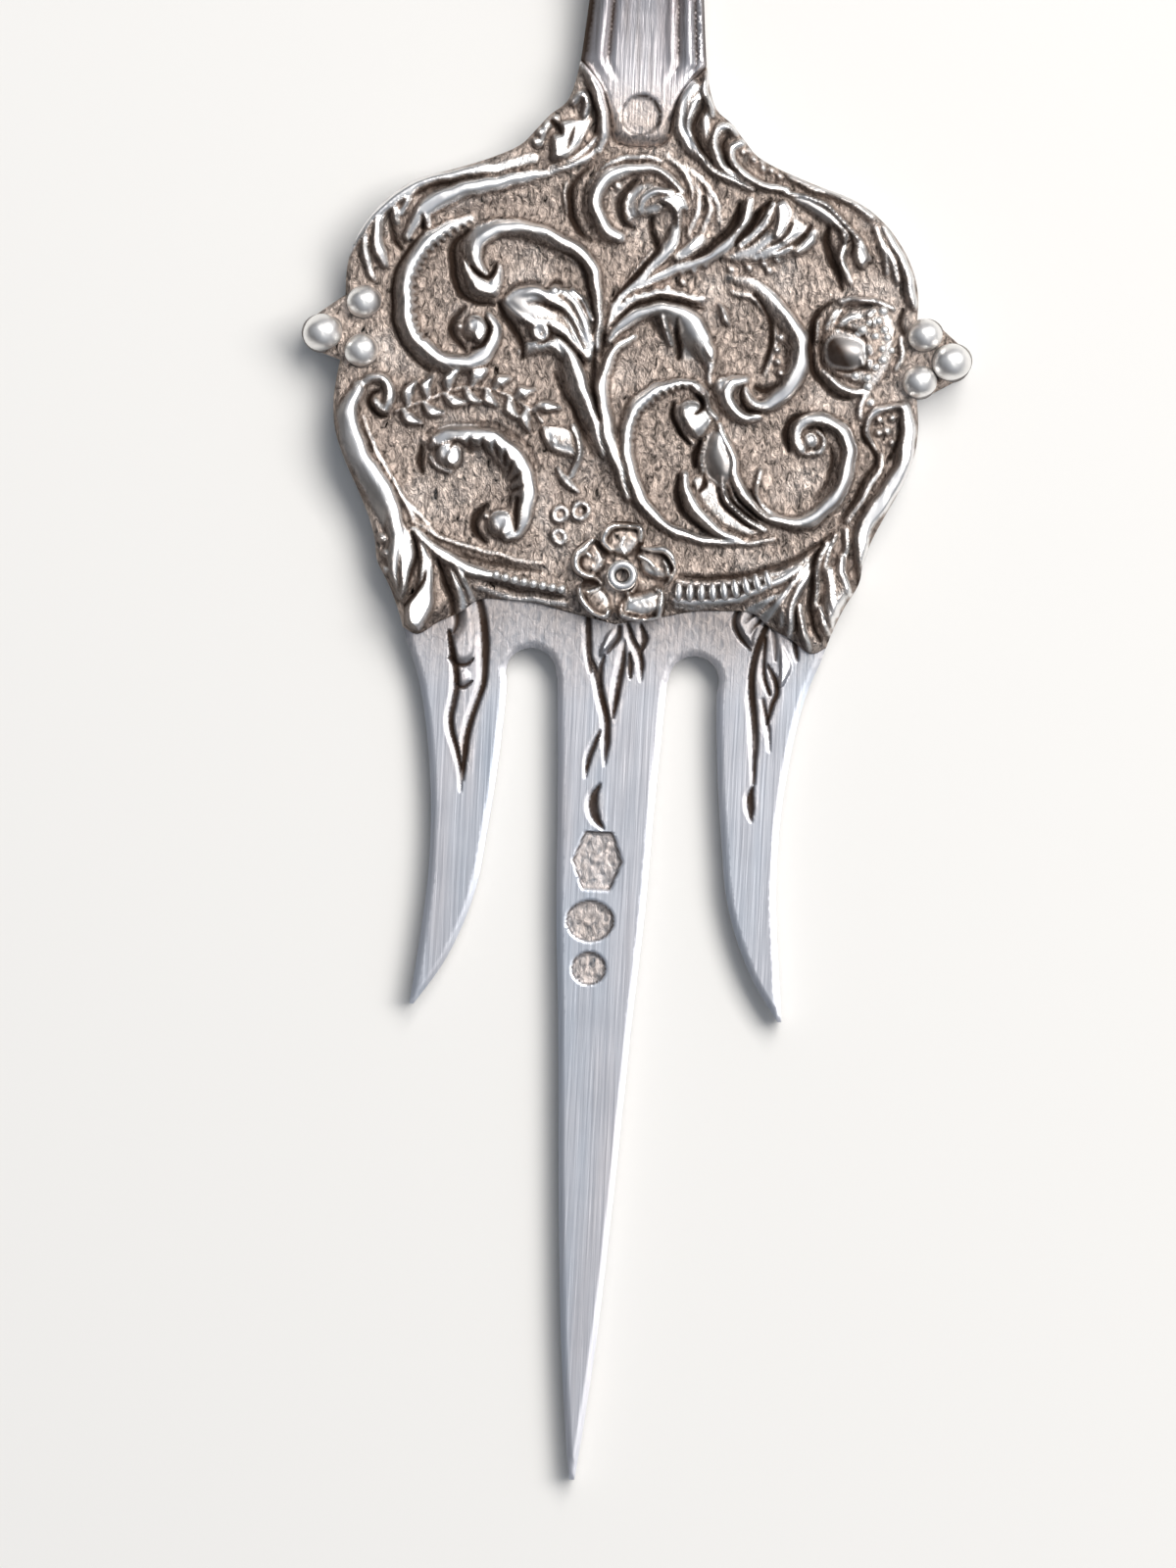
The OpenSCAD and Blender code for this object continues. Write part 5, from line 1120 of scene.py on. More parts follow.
# Smooth lobes, painted with shade that is darkest on the side away from the window.
smooth_lobe_with_painted_shade(POD_DOME, 0.95)
smooth_lobe_with_painted_shade([(0.9, 1.95), (1.6, 2.3), (2.4, 2.3), (3, 1.85), (3.2, 1.3), (2.9, 0.6), (3, 0), (2.4, 0.1),
             (2.3, 1.1), (1.7, 1.6)], 0.75)
smooth_lobe_with_painted_shade([(7, 7.6), (7.9, 7.5), (8.9, 6.9), (9.3, 6.5), (8.7, 6.42), (8.1, 6.82), (7.3, 7.3)], 0.7)
smooth_lobe_with_painted_shade([(-5.8, 2.2), (-5.2, 2.75), (-4.5, 2.85), (-3.8, 2.6), (-4.3, 1.9), (-5, 1.3), (-5.6, 1.6)],
            0.45)
smooth_lobe_with_painted_shade([(3.7, -3.3), (4.3, -3.2), (4.9, -4.2), (5, -5), (4.5, -5.7), (3.8, -5.2), (3.5, -4.3)], 0.8)
smooth_lobe_with_painted_shade([(-8.6, -3.6), (-7.6, -3.3), (-6.6, -3.4), (-7.2, -3.8), (-8, -4)], 0.6)
smooth_lobe_with_painted_shade([(-12.6, -2.3), (-12.55, -3.4), (-12.2, -4.4), (-11.6, -5.5), (-10.9, -6.6), (-10.5, -7.5),
             (-10.7, -8.3), (-11.3, -7.4), (-12.1, -6), (-12.8, -4.6), (-13.1, -3.2)], 0.6)
# Dark colour: carved lines, partly tarnish in the chased lines and partly painted shadow; painted shade on
# lee slopes and lobes; tarnish at the feet of strokes and in pockets.
chased_lines_and_painted_shadow = np.clip(chased.blurred(chased.carved_and_painted_shade, 0.04) / 0.17 - 0.1, 0, 0.97)
chased_recess_and_painted_shade = np.max([0.55 * painted_lee_shade, 0.5 * foot, 0.3 * pocket, painted_lobe_shade, chased_lines_and_painted_shadow], axis=0)
crest = 0.5 * np.clip((chased.height - 0.4) / 0.2, 0, 1)
rubbed = np.clip((chased.height - broad) / 0.07 + 0.1 + crest, 0, 1)
# Slopes turned away from the window also keep more of the brown ground colour, as painted shade.
chased_ground = 1 - rubbed * (1 - 0.7 * painted_lee_shade) * np.clip(chased.height / 0.35 - 0.15, 0, 1)
chased_ground = chased_ground * (1 - 0.85 * smoothed)
matting_grain = chased.grain((0.11, 0.2), 0.014, 7) + chased.grain((0.35, 0.35), 0.022, 8)
chased.height += (0.15 + 0.85 * matted) * matting_grain


def plaque_top(points, depth):
    low = np.clip((-9.5 - points[:, 1]) / 1.5, 0, 1)
    rounding = 0.22 * (1 - low) * np.clip(1 - depth / 0.25, 0, 1) ** 2
    corner = np.clip((np.abs(points[:, 0]) - 7) / 1.5, 0, 1)
    thinning = low * np.clip(1 - depth / (1.3 - 0.9 * corner), 0, 1) ** 1.5
    rim = 0.12 * (1 - low) * np.clip(1 - depth / 0.6, 0, 1)
    raised = chased.at(chased.height, points) * (1 - 0.4 * thinning)
    return np.maximum(GROUND_Z + rim + raised - rounding - 0.44 * thinning, PLAQUE_FOOT + 0.04)


plaque_loop = resample(node_outline("ornament_plaque", PLAQUE_FOOT), 0.12)
plaque = slab(
    "ornament_plaque_chased",
    plaque_loop,
    [(-14, 14, 0.083)],
    (0.08, 0.16),
    plaque_top,
    lambda points: np.full(len(points), PLAQUE_FOOT),
    {
        "ground": (lambda points: chased.at(chased_ground, points), 0.6),
        "recess": (lambda points: chased.at(chased_recess_and_painted_shade, points), 0.4),
    },
    under=0.02,
    sharp_angle=1.2,
)
chased_silver = silver("chased_silver", 0.2, (0.95, 0.94, 0.92, 1), (0.90, 0.88, 0.88, 1), 0.0, 0.16)
finish_piece(plaque, chased_silver, "tarnished_silver", "ornament_plaque")

# Rosette: a five-petal flower raised from thin silver, its petals cupped with a thick worked rim, over the
# middle of the lower edge. It is a separate piece, set on the ground of the plaque and held by the rivet.
flower = Relief((-3.2, -13), (3.6, -6.6), 0.03, wander=0.02)
flower.leaf([(-0.7, -8.4), (-0.4, -7.8), (0.4, -7.7), (0.95, -7.9), (0.9, -8.5), (0.4, -9), (-0.3, -8.9)],
            30, 25)
flower.leaf([(1, -8.7), (1.9, -8.6), (2.5, -9), (2.6, -9.6), (2.1, -10), (1.2, -9.8), (0.9, -9.3)], 28, 30)
flower.leaf([(0.2, -11.7), (0.3, -11), (0.9, -10.6), (1.7, -10.4), (2.1, -10.6), (2.1, -11.5),
             (1.2, -11.85)], 50, 50)
flower.leaf([(-1.7, -10.6), (-1, -10.4), (-0.4, -10.7), (-0.2, -11.4), (-0.5, -11.8), (-1.2, -11.6)], 26, 25)
flower.leaf([(-1.1, -8.4), (-0.8, -8.8), (-0.6, -9.4), (-0.9, -9.9), (-1.5, -9.9), (-2, -9.4), (-1.7, -8.8)],
            28, 25)
for rim, rim_wide, rim_tall in (
    ([(-0.35, -8.75), (-0.68, -8.4), (-0.6, -8), (-0.35, -7.7), (0.1, -7.6), (0.55, -7.65), (0.95, -7.75),
      (0.98, -8.3)],
     (20, 34, 36, 26, 18, 20, 34, 20), (50, 75, 80, 72, 62, 62, 75, 45)),
    ([(1.05, -8.6), (1.5, -8.62), (1.95, -8.58), (2.3, -8.75), (2.55, -9.1), (2.68, -9.5), (2.45, -9.9),
      (2.2, -10.2)],
     (16, 26, 36, 40, 36, 26, 20, 15), (50, 70, 80, 85, 82, 72, 60, 40)),
    ([(1.75, -10.4), (2, -10.5), (2.08, -10.9), (2.02, -11.3), (1.95, -11.65)],
     (16, 24, 30, 30, 24), (55, 72, 78, 75, 60)),
    ([(2, -11.72), (1.2, -11.85), (0.5, -11.78), (0.2, -11.6), (0.22, -11.2)],
     (20, 20, 22, 22, 15), (55, 52, 52, 55, 40)),
    ([(-1.7, -10.55), (-1.6, -11), (-1.35, -11.4), (-0.9, -11.7), (-0.45, -11.78), (-0.35, -11.55)],
     (20, 30, 32, 30, 28, 26), (55, 76, 78, 74, 72, 60)),
    ([(-1.15, -8.35), (-1.45, -8.65), (-1.82, -8.98), (-1.95, -9.35), (-1.8, -9.72), (-1.45, -9.95),
      (-1.1, -10)],
     (22, 34, 36, 36, 34, 28, 22), (60, 78, 84, 84, 80, 72, 55)),
):
    flower.band(rim, 1.35 * np.array(rim_wide), rim_tall)
for fold, fold_wide, fold_tall in (
    ([(-1.65, -9.05), (-1.5, -8.95), (-1.3, -9.1)], 26, 50),
    ([(2.05, -9.1), (2.25, -9.4), (2.3, -9.75)], 24, 50),
    ([(0.95, -9), (1.4, -9.2), (1.7, -9.5)], 26, 42),
    ([(0.75, -10), (0.85, -10.3), (0.7, -10.6)], 22, 50),
    ([(0.5, -10.6), (0.6, -11)], 20, 50),
    ([(-1.25, -10.7), (-1, -10.6), (-0.75, -10.5)], 20, 42),
    ([(-0.95, -10.1), (-0.7, -10.25)], 26, 50),
    ([(0.2, -8.2), (0.1, -8.6), (0.3, -8.9)], 24, 40),
    ([(-0.65, -9.2), (-0.75, -9.5)], 18, 42),
):
    flower.band(fold, fold_wide, fold_tall)
for gap in ([(-0.95, -8.5), (-0.6, -8.9), (-0.35, -9.2)], [(1, -8.5), (0.8, -8.9), (0.6, -9.2)],
            [(2.2, -10.1), (1.7, -10.1), (1.1, -9.95)], [(0.1, -11.6), (0.15, -11), (0.1, -10.6)],
            [(-1.6, -10.25), (-1, -10.25), (-0.5, -10.1)]):
    flower.cut(gap, (30, 26, 20), 30)
flower.height = np.maximum(flower.height, -0.05)
flower.height = flower.blurred(flower.height, 0.03) + flower.grain((0.06, 0.06), 0.01, 11)
flower_recess = np.clip((flower.blurred(flower.height, 0.2) - flower.height) / 0.16 - 0.1, 0, 1)
flower_rubbed = np.clip((flower.height - flower.blurred(flower.height, 0.3)) / 0.1 + 0.1, 0, 1)
flower_ground = 1 - flower_rubbed * np.clip(flower.height / 0.4, 0, 1)


def rosette_top(points, depth):
    edge = 0.2 * np.clip(1 - depth / 0.15, 0, 1) ** 2
    return GROUND_Z + np.maximum(0.12 + flower.at(flower.height, points) - edge, 0.06)


rosette = slab(
    "rosette_petals",
    resample(smooth_path(ROSETTE_EDGE + ROSETTE_EDGE[:1])[:-1], 0.06),
    [(ROSETTE_Y - 3, ROSETTE_Y + 3, 0.06)],
    (0.05, 0.1),
    rosette_top,
    lambda points: np.full(len(points), GROUND_Z),
    {
        "ground": (lambda points: flower.at(flower_ground, points), 0.7),
        "recess": (lambda points: flower.at(flower_recess, points), 0.5),
    },
    under=0.02,
    sharp_angle=1.2,
)
bright_silver = silver("bright_silver", 0.16, (0.94, 0.92, 0.89, 1), (0.89, 0.87, 0.86, 1), 0.0, 0.03)
finish_piece(rosette, bright_silver, "bright_silver", "rosette")

# Rosette rivet: a short silver tube through the rosette, the plaque and the plate. Its upper end is a
# rounded ring, and its lower end is hammered into the countersunk back of the plate.


def turned(name, profile, rings, place, recess, ripple=None):
    """A turned piece: a closed profile of radius and height, swept about an axis, and placed in the fork."""
    profile = np.array(profile, float)
    angle = 2 * np.pi * np.arange(rings) / rings
    r, z = profile.T
    grow = np.zeros((rings, len(r))) if ripple is None else ripple(angle[:, None], z[None])
    radius = np.where(r > 0, r + grow, 0)
    across, up = radius * np.cos(angle)[:, None], radius * np.sin(angle)[:, None]
    points = np.stack([across, up, np.tile(z, (rings, 1))], 2)
    columns = len(profile)
    faces = []
    for k in range(rings):
        for j in range(columns):
            a, b = k * columns + j, k * columns + (j + 1) % columns
            c, d = (k + 1) % rings * columns + (j + 1) % columns, (k + 1) % rings * columns + j
            faces.append((a, d, c, b))
    piece = solid_mesh(name, place(points.reshape(-1, 3)), faces, {"recess": np.tile(recess, rings)})
    shape = bmesh.new()
    shape.from_mesh(piece.data)
    bmesh.ops.remove_doubles(shape, verts=shape.verts, dist=1e-7)
    bmesh.ops.dissolve_degenerate(shape, edges=shape.edges, dist=1e-7)
    bmesh.ops.recalc_face_normals(shape, faces=shape.faces)
    shape.to_mesh(piece.data)
    shape.free()
    piece.data.shade_smooth()
    piece.data.set_sharp_from_angle(angle=0.7)
    return piece


RIVET_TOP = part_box("rosette_rivet")[1].z / MM
rivet_profile = [(0, -0.03), (0.5, -0.03), (0.66, -0.01), (0.69, 0.05), (0.4, 0.6), (0.4, RIVET_TOP - 0.42),
                 (0.68, RIVET_TOP - 0.4), (0.72, RIVET_TOP - 0.25), (0.68, RIVET_TOP - 0.1),
                 (0.58, RIVET_TOP - 0.01), (0.47, RIVET_TOP), (0.36, RIVET_TOP - 0.05),
                 (0.3, RIVET_TOP - 0.16), (0.27, RIVET_TOP - 0.35), (0.25, GROUND_Z + 0.1),
                 (0, GROUND_Z + 0.05)]
rivet_dark = [0.2, 0.1, 0.3, 0.4, 0, 0, 0.8, 0.35, 0.05, 0, 0, 0, 0.3, 0.9, 1, 1]
rivet = turned("rosette_rivet_ring", rivet_profile, 48, lambda p: p + (ROSETTE_X, ROSETTE_Y, 0), rivet_dark)
finish_piece(rivet, bright_silver, "bright_silver", "rosette_rivet")

# Beads: three balls of cast silver at each side of the head, soldered to the lobes of the plaque.
# Each has a small fillet of solder round its foot, and is coloured darker low down towards it.


def bead_shape():
    """One bead of diameter 1 mm with its fillet, standing on the ground."""
    tilt = np.linspace(-0.35, np.pi / 2, 16)
    profile = [(0, -0.12), (0.54, -0.12), (0.54, 0.0), (0.5, 0.04), (0.485, 0.08)]
    profile += [(0.5 * np.cos(t), 0.25 + 0.5 * np.sin(t)) for t in tilt[1:-1]] + [(0, 0.75)]
    dark = [1, 1, 0.8, 0.6, 0.4] + [max(0.0, 0.3 - 0.12 * k) for k in range(len(tilt) - 1)]

    def worn(angle, z):
        return 0.018 * np.sin(2 * angle + 1) + 0.014 * np.sin(3 * angle + 9 * z)

    return turned("bead_shape", profile, 32, lambda p: p, dark, worn)


def geometry_group(name, *inputs):
    """A node group that takes geometry, the shape to repeat and its finish, and gives geometry."""
    taken = [("Geometry", "Geometry", None), ("Shape", "Object", None), ("Finish", "Material", None)]
    return node_group(name, "GeometryNodeTree", taken + list(inputs), [("Geometry", "Geometry")])


def end_tree(tree, instances, given, put):
    solid = add_node(tree, "GeometryNodeRealizeInstances", Geometry=instances).outputs["Geometry"]
    coated = add_node(tree, "GeometryNodeSetMaterial", Geometry=solid, Material=given["Finish"])
    tree.links.new(coated.outputs["Geometry"], put["Geometry"])
    return tree


def beads_on_points():
    """Stands a shape on each point of a mesh, at the point's own size."""
    tree, given, put = geometry_group("beads_on_points", ("Share of size", "Float", 1.0))
    shape = add_node(tree, "GeometryNodeObjectInfo", Object=given["Shape"]).outputs["Geometry"]
    number = {"data_type": "FLOAT"}
    size = add_node(tree, "GeometryNodeInputNamedAttribute", number, Name="size").outputs["Attribute"]
    scale = math_node(tree, "MULTIPLY", size, given["Share of size"])
    values = {"Points": given["Geometry"], "Instance": shape, "Scale": scale}
    placed = add_node(tree, "GeometryNodeInstanceOnPoints", **values).outputs["Instances"]
    return end_tree(tree, placed, given, put)


def beads_on_line():
    """Stands a stretched shape at even steps on a curve, turned along it."""
    tree, given, put = geometry_group(
        "beads_on_line", ("Pitch", "Float", 0.4 * MM), ("Size", "Vector", (1.0, 1.0, 1.0))
    )
    shape = add_node(tree, "GeometryNodeObjectInfo", Object=given["Shape"]).outputs["Geometry"]
    even = {"mode": "LENGTH"}
    values = {"Curve": given["Geometry"], "Length": given["Pitch"]}
    stepped = add_node(tree, "GeometryNodeResampleCurve", even, **values).outputs["Curve"]
    along = add_node(tree, "GeometryNodeInputTangent").outputs["Tangent"]
    faced = add_node(tree, "FunctionNodeAlignRotationToVector", {"axis": "X"}, Vector=along)
    values = {"Instance": shape, "Rotation": faced.outputs["Rotation"], "Scale": given["Size"]}
    placed = add_node(tree, "GeometryNodeInstanceOnPoints", Points=stepped, **values).outputs["Instances"]
    return end_tree(tree, placed, given, put)


def made_by_nodes(name, source, tree, values):
    """The plain mesh that a node tree makes of a source object, which is then removed."""
    bpy.context.scene.collection.objects.link(source)
    modifier = source.modifiers.new("nodes", "NODES")
    modifier.node_group = tree
    for item in tree.interface.items_tree:
        if item.in_out == "INPUT" and item.name in values:
            modifier[item.identifier] = values[item.name]
    ready = source.evaluated_get(bpy.context.evaluated_depsgraph_get())
    mesh = bpy.data.meshes.new_from_object(ready)
    source.modifiers.clear()
    bpy.data.objects.remove(source)
    mesh.name = name
    piece = bpy.data.objects.new(name, mesh)
    bpy.context.scene.collection.objects.link(piece)
    return piece


def point_source(spots):
    """A mesh of loose points x, y, z with the size of what stands on each."""
    mesh = bpy.data.meshes.new("points")
    mesh.from_pydata([(x * MM, y * MM, z * MM) for x, y, z, _ in spots], [], [])
    mesh.attributes.new("size", "FLOAT", "POINT").data.foreach_set("value", [s for *_, s in spots])
    return bpy.data.objects.new("points", mesh)


def line_source(points):
    """A curve through given points x, y, z."""
    curve = bpy.data.curves.new("line", "CURVE")
    curve.dimensions = "3D"
    path = smooth_path(points)
    spline = curve.splines.new("POLY")
    spline.points.add(len(path) - 1)
    for point, place in zip(spline.points, path):
        point.co = (*(place * MM), 1)
    return bpy.data.objects.new("line", curve)


BEADS_ON_POINTS = beads_on_points()
BEADS_ON_LINE = beads_on_line()
bead = bead_shape()
worn_silver = silver("worn_silver", 0.3, (0.97, 0.96, 0.94, 1), (0.92, 0.90, 0.88, 1), 0.0, 0.05)
for node, spots in SIDE_BEADS:
    stand = point_source([(x, y, GROUND_Z - 0.02, d) for x, y, d in spots])
    values = {"Shape": bead, "Finish": worn_silver}
    side_beads = made_by_nodes(node + "_balls", stand, BEADS_ON_POINTS, values)
    finish_piece(side_beads, worn_silver, "bright_silver", node)

# Fine beading of the plaque: a row of pearls on the left lower rim, upright gadroons on the right one, and
# the seeds of the pod. All are raised from the plaque itself with small hollow punches.
PEARL_Z = GROUND_Z + 0.35
pearl_row = [(-5.5, -10.15, PEARL_Z), (-4.6, -10.35, PEARL_Z), (-3.6, -10.5, PEARL_Z),
             (-2.5, -10.65, PEARL_Z)]
values = {"Shape": bead, "Finish": worn_silver, "Pitch": 0.42 * MM, "Size": (0.36, 0.4, 0.4)}
pearls = made_by_nodes("lower_rim_pearls", line_source(pearl_row), BEADS_ON_LINE, values)
finish_piece(pearls, worn_silver, "tarnished_silver")
gadroon_row = [(2.8, -10.5, GROUND_Z + 0.3), (4.2, -10.45, GROUND_Z + 0.34), (5.5, -10.2, GROUND_Z + 0.36),
               (6.8, -9.75, GROUND_Z + 0.36)]
values = {"Shape": bead, "Finish": chased_silver, "Pitch": 0.5 * MM, "Size": (0.34, 0.85, 0.4)}
gadroons = made_by_nodes("lower_rim_gadroons", line_source(gadroon_row), BEADS_ON_LINE, values)
finish_piece(gadroons, chased_silver, "tarnished_silver")
SEEDS = ((10.3, 1.55), (10.5, 1.75), (11.1, 1.5), (11.5, 1.8), (11.65, 1.45), (11.45, 0.95), (11.5, 0.45),
         (11.2, 0.1), (10.85, -0.4), (10.9, -0.8), (11.05, -1.5), (10.3, -0.35), (11.85, 0.9), (11.2, 2.2),
         (11.4, 2.65), (10.8, 2.1))
seed_spots = []
for seed_x, seed_y in SEEDS:
    carried = chased.at(chased.height, np.array([[seed_x, seed_y]]))[0]
    seed_d = 0.4 + 0.08 * np.sin(5 * seed_x + 3 * seed_y)
    seed_spots.append((seed_x, seed_y, GROUND_Z + carried - 0.08, seed_d))
values = {"Shape": bead, "Finish": worn_silver}
seeds = made_by_nodes("pod_seeds", point_source(seed_spots), BEADS_ON_POINTS, values)
finish_piece(seeds, worn_silver, "tarnished_silver")
bpy.data.objects.remove(bead)

# Stem: a forged silver strap that rises from the head to the handle, reeded lengthwise along both edges.
# Its foot lies between the shoulder leaves and is soldered there. The collar pinches its round end.


def section(node, y):
    """Half width, lowest and highest level of a CAD node where a plane across the fork cuts it."""
    if node not in SECTION_SOURCE:
        SECTION_SOURCE[node] = node_triangles(node)
    triangles = SECTION_SOURCE[node]
    found = []
    for a, b in ((0, 1), (1, 2), (2, 0)):
        p, q = triangles[:, a], triangles[:, b]
        cuts = (p[:, 1] - y) * (q[:, 1] - y) < 0
        share = ((y - p[cuts, 1]) / (q[cuts, 1] - p[cuts, 1]))[:, None]
        found.append(p[cuts] + share * (q[cuts] - p[cuts]))
    found = np.concatenate(found)
    return np.abs(found[:, 0]).max(), found[:, 2].min(), found[:, 2].max()


SECTION_SOURCE = {}
OVAL_Y = 10.95
COLLAR_LOW, COLLAR_HIGH = (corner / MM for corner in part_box("collar"))
stem_y = np.concatenate([np.linspace(9.57, 13.3, 30), np.linspace(13.4, COLLAR_LOW.y + 0.1, 60)])
stem_cuts = np.array([section("stem", y) for y in stem_y])
stem_half = stem_cuts[:, 0]
stem_side = np.stack([stem_half, stem_y], 1)
stem_loop = np.concatenate([stem_side, (stem_side * (-1, 1))[::-1]])


def stem_reeds(points):
    """The reeding's height, by distance from the left and right edges."""
    half = np.interp(points[:, 1], stem_y, stem_half)
    fit = np.maximum(half, 1.2) / 2.68
    left = (points[:, 0] + half) / fit
    right = (half - points[:, 0]) / fit
    reeds = -0.3 * np.clip(1 - left / 0.6, 0, 1) ** 1.5 - 0.2 * np.clip(1 - right / 0.25, 0, 1) ** 1.5
    for distance, where, wide, high in (
        (left, 0.78, 0.24, 0.15),
        (left, 1.15, 0.15, -0.16),
        (right, 0.42, 0.13, -0.16),
        (right, 0.74, 0.2, 0.12),
        (right, 1.2, 0.14, -0.14),
        (right, 1.5, 0.16, 0.08),
    ):
        reeds = reeds + high * np.exp(-((distance - where) / wide) ** 2)
    return reeds * np.clip((points[:, 1] - 12.4) / 1.4, 0, 1)


def stem_oval(points):
    """A plain oval punch on the foot, with nothing in it."""
    reach = (points[:, 0] / 0.92) ** 2 + ((points[:, 1] - OVAL_Y) / 0.95) ** 2
    return np.clip((1 - reach) / 0.25, 0, 1)


def stem_top(points, depth):
    level = np.interp(points[:, 1], stem_y, stem_cuts[:, 2])
    foot = np.clip((11.2 - points[:, 1]) / 1.4, 0, 1)
    edge = (0.15 + 0.25 * foot) * np.clip(1 - depth / (0.2 + 0.5 * foot), 0, 1) ** 2
    worked = level + stem_reeds(points) - edge - 0.16 * stem_oval(points)
    return np.maximum(worked, stem_under(points) + 0.05)


def stem_under(points):
    return np.interp(points[:, 1], stem_y, stem_cuts[:, 1])


def stem_recess_and_painted_shade(points):
    """Dark in the grooves, painted shade on the punch's wall away from the window, and loose streaks along
    the middle.
    """
    x, y = points.T
    oval = stem_oval(points)
    shaded = np.clip(2 * (x * WINDOW_SIDE[0] + (y - OVAL_Y) * WINDOW_SIDE[1]), 0, 1)
    wall = shaded * np.clip(6 * oval * (1 - oval), 0, 1)
    flow = np.sin(7 * x + 1.2 * np.sin(0.9 * y) + 0.5) * np.sin(3.1 * x - 0.5 * y)
    flow = flow + 0.5 * np.sin(13 * x + 0.8 * y)
    streaks = 0.34 * np.clip(flow, 0, 1) * np.clip(y - 11.8, 0, 1) * np.clip(2.2 - np.abs(x), 0, 1)
    grooves = np.clip((-stem_reeds(points) - 0.03) / 0.12, 0, 1)
    return np.max([grooves, 0.9 * wall, streaks], axis=0)


def stem_ground(points):
    return np.maximum(0.6 * stem_oval(points), 0.75 * np.clip((12.8 - points[:, 1]) / 2.2, 0, 1))


stem = slab(
    "stem_reeded",
    resample(stem_loop, 0.12),
    [(9, COLLAR_LOW.y, 0.13)],
    (0.07, 0.15),
    stem_top,
    stem_under,
    {"ground": (stem_ground, 0.2), "recess": (stem_recess_and_painted_shade, 0.1)},
)
# Painted reflection: the bright colour is darker and bluer than silver, for the blue-grey sky seen in the
# flat stem.
stem_silver = silver("stem_silver", 0.22, (0.50, 0.54, 0.58, 1), (0.74, 0.64, 0.63, 1), 0.03, 0.05)
finish_piece(stem, stem_silver, "stem_silver", "stem")

# Collar: a turned silver ferrule between stem and handle, a round bead between two fillets.
# The bead is roped with a knurling wheel, and the ferrule is pushed on to the stem's end and soldered.
AXIS_Z = (COLLAR_LOW.z + COLLAR_HIGH.z) / 2
COLLAR_R = (COLLAR_HIGH.z - COLLAR_LOW.z) / 2
COLLAR_L = COLLAR_HIGH.y - COLLAR_LOW.y
BEAD_R = 0.85
bead_turns = np.linspace(-1.45, 1.45, 15)
collar_foot = [(1.72, 0.02), (COLLAR_R - 1.05, 0), (COLLAR_R - 0.88, 0.1), (COLLAR_R - 0.85, 0.3),
               (COLLAR_R - 0.92, 0.48)]
bead_r, bead_y = COLLAR_R - BEAD_R, COLLAR_L / 2
collar_bead = [(bead_r + BEAD_R * np.cos(t), bead_y + BEAD_R * np.sin(t)) for t in bead_turns]
collar_profile = collar_foot + collar_bead + [(r, COLLAR_L - y) for r, y in reversed(collar_foot)]
collar_dark = [0.5, 0.1, 0, 0, 0.9] + [0.5] + [0.05] * 13 + [0.5] + [0.9, 0, 0, 0.1, 0.5]
ROPE_TURNS = 36


def rope(angle, along):
    beyond = np.clip(1 - np.abs(along - COLLAR_L / 2) / BEAD_R, 0, 1)
    return 0.09 * np.sqrt(beyond) * (np.cos(ROPE_TURNS * angle + 2.6 * (along - COLLAR_L / 2)) - 1) / 2


def on_axis(points):
    return np.stack([points[:, 0], COLLAR_LOW.y + points[:, 2], AXIS_Z - points[:, 1]], 1)


collar = turned("collar_roped", collar_profile, 288, on_axis, collar_dark, rope)
finish_piece(collar, bright_silver, "bright_silver", "collar")

# Handle shells: two halves of thin silver struck in dies with borders, scrolls and a blank cartouche.
# They are soldered along the seam at the sides, and the seam shows as a fine line.
HANDLE_LOW, HANDLE_HIGH = (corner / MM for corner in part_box("handle_front"))
HANDLE_Y, HANDLE_L = HANDLE_LOW.y, HANDLE_HIGH.y - HANDLE_LOW.y
HANDLE_END = HANDLE_Y + HANDLE_L
SHELL_T = 0.6
SHELL_SINK = 0.27
SEAM_DEPTH = 0.06
ring_share = np.concatenate([np.linspace(0, 0.9, 120), np.sin(np.linspace(1.13, np.pi / 2, 20))])
ring_y = HANDLE_Y + HANDLE_L * np.clip(ring_share, 0.0002, 0.9998)
ring_cuts = [section("handle_front", y) for y in ring_y]
ring_sizes = [(y, half, high - AXIS_Z) for y, (half, _, high) in zip(ring_y, ring_cuts)]
handle_rings = smooth_path(ring_sizes, 0.25)
work = Relief((-8, -1), (8, HANDLE_L + 1), 0.08)
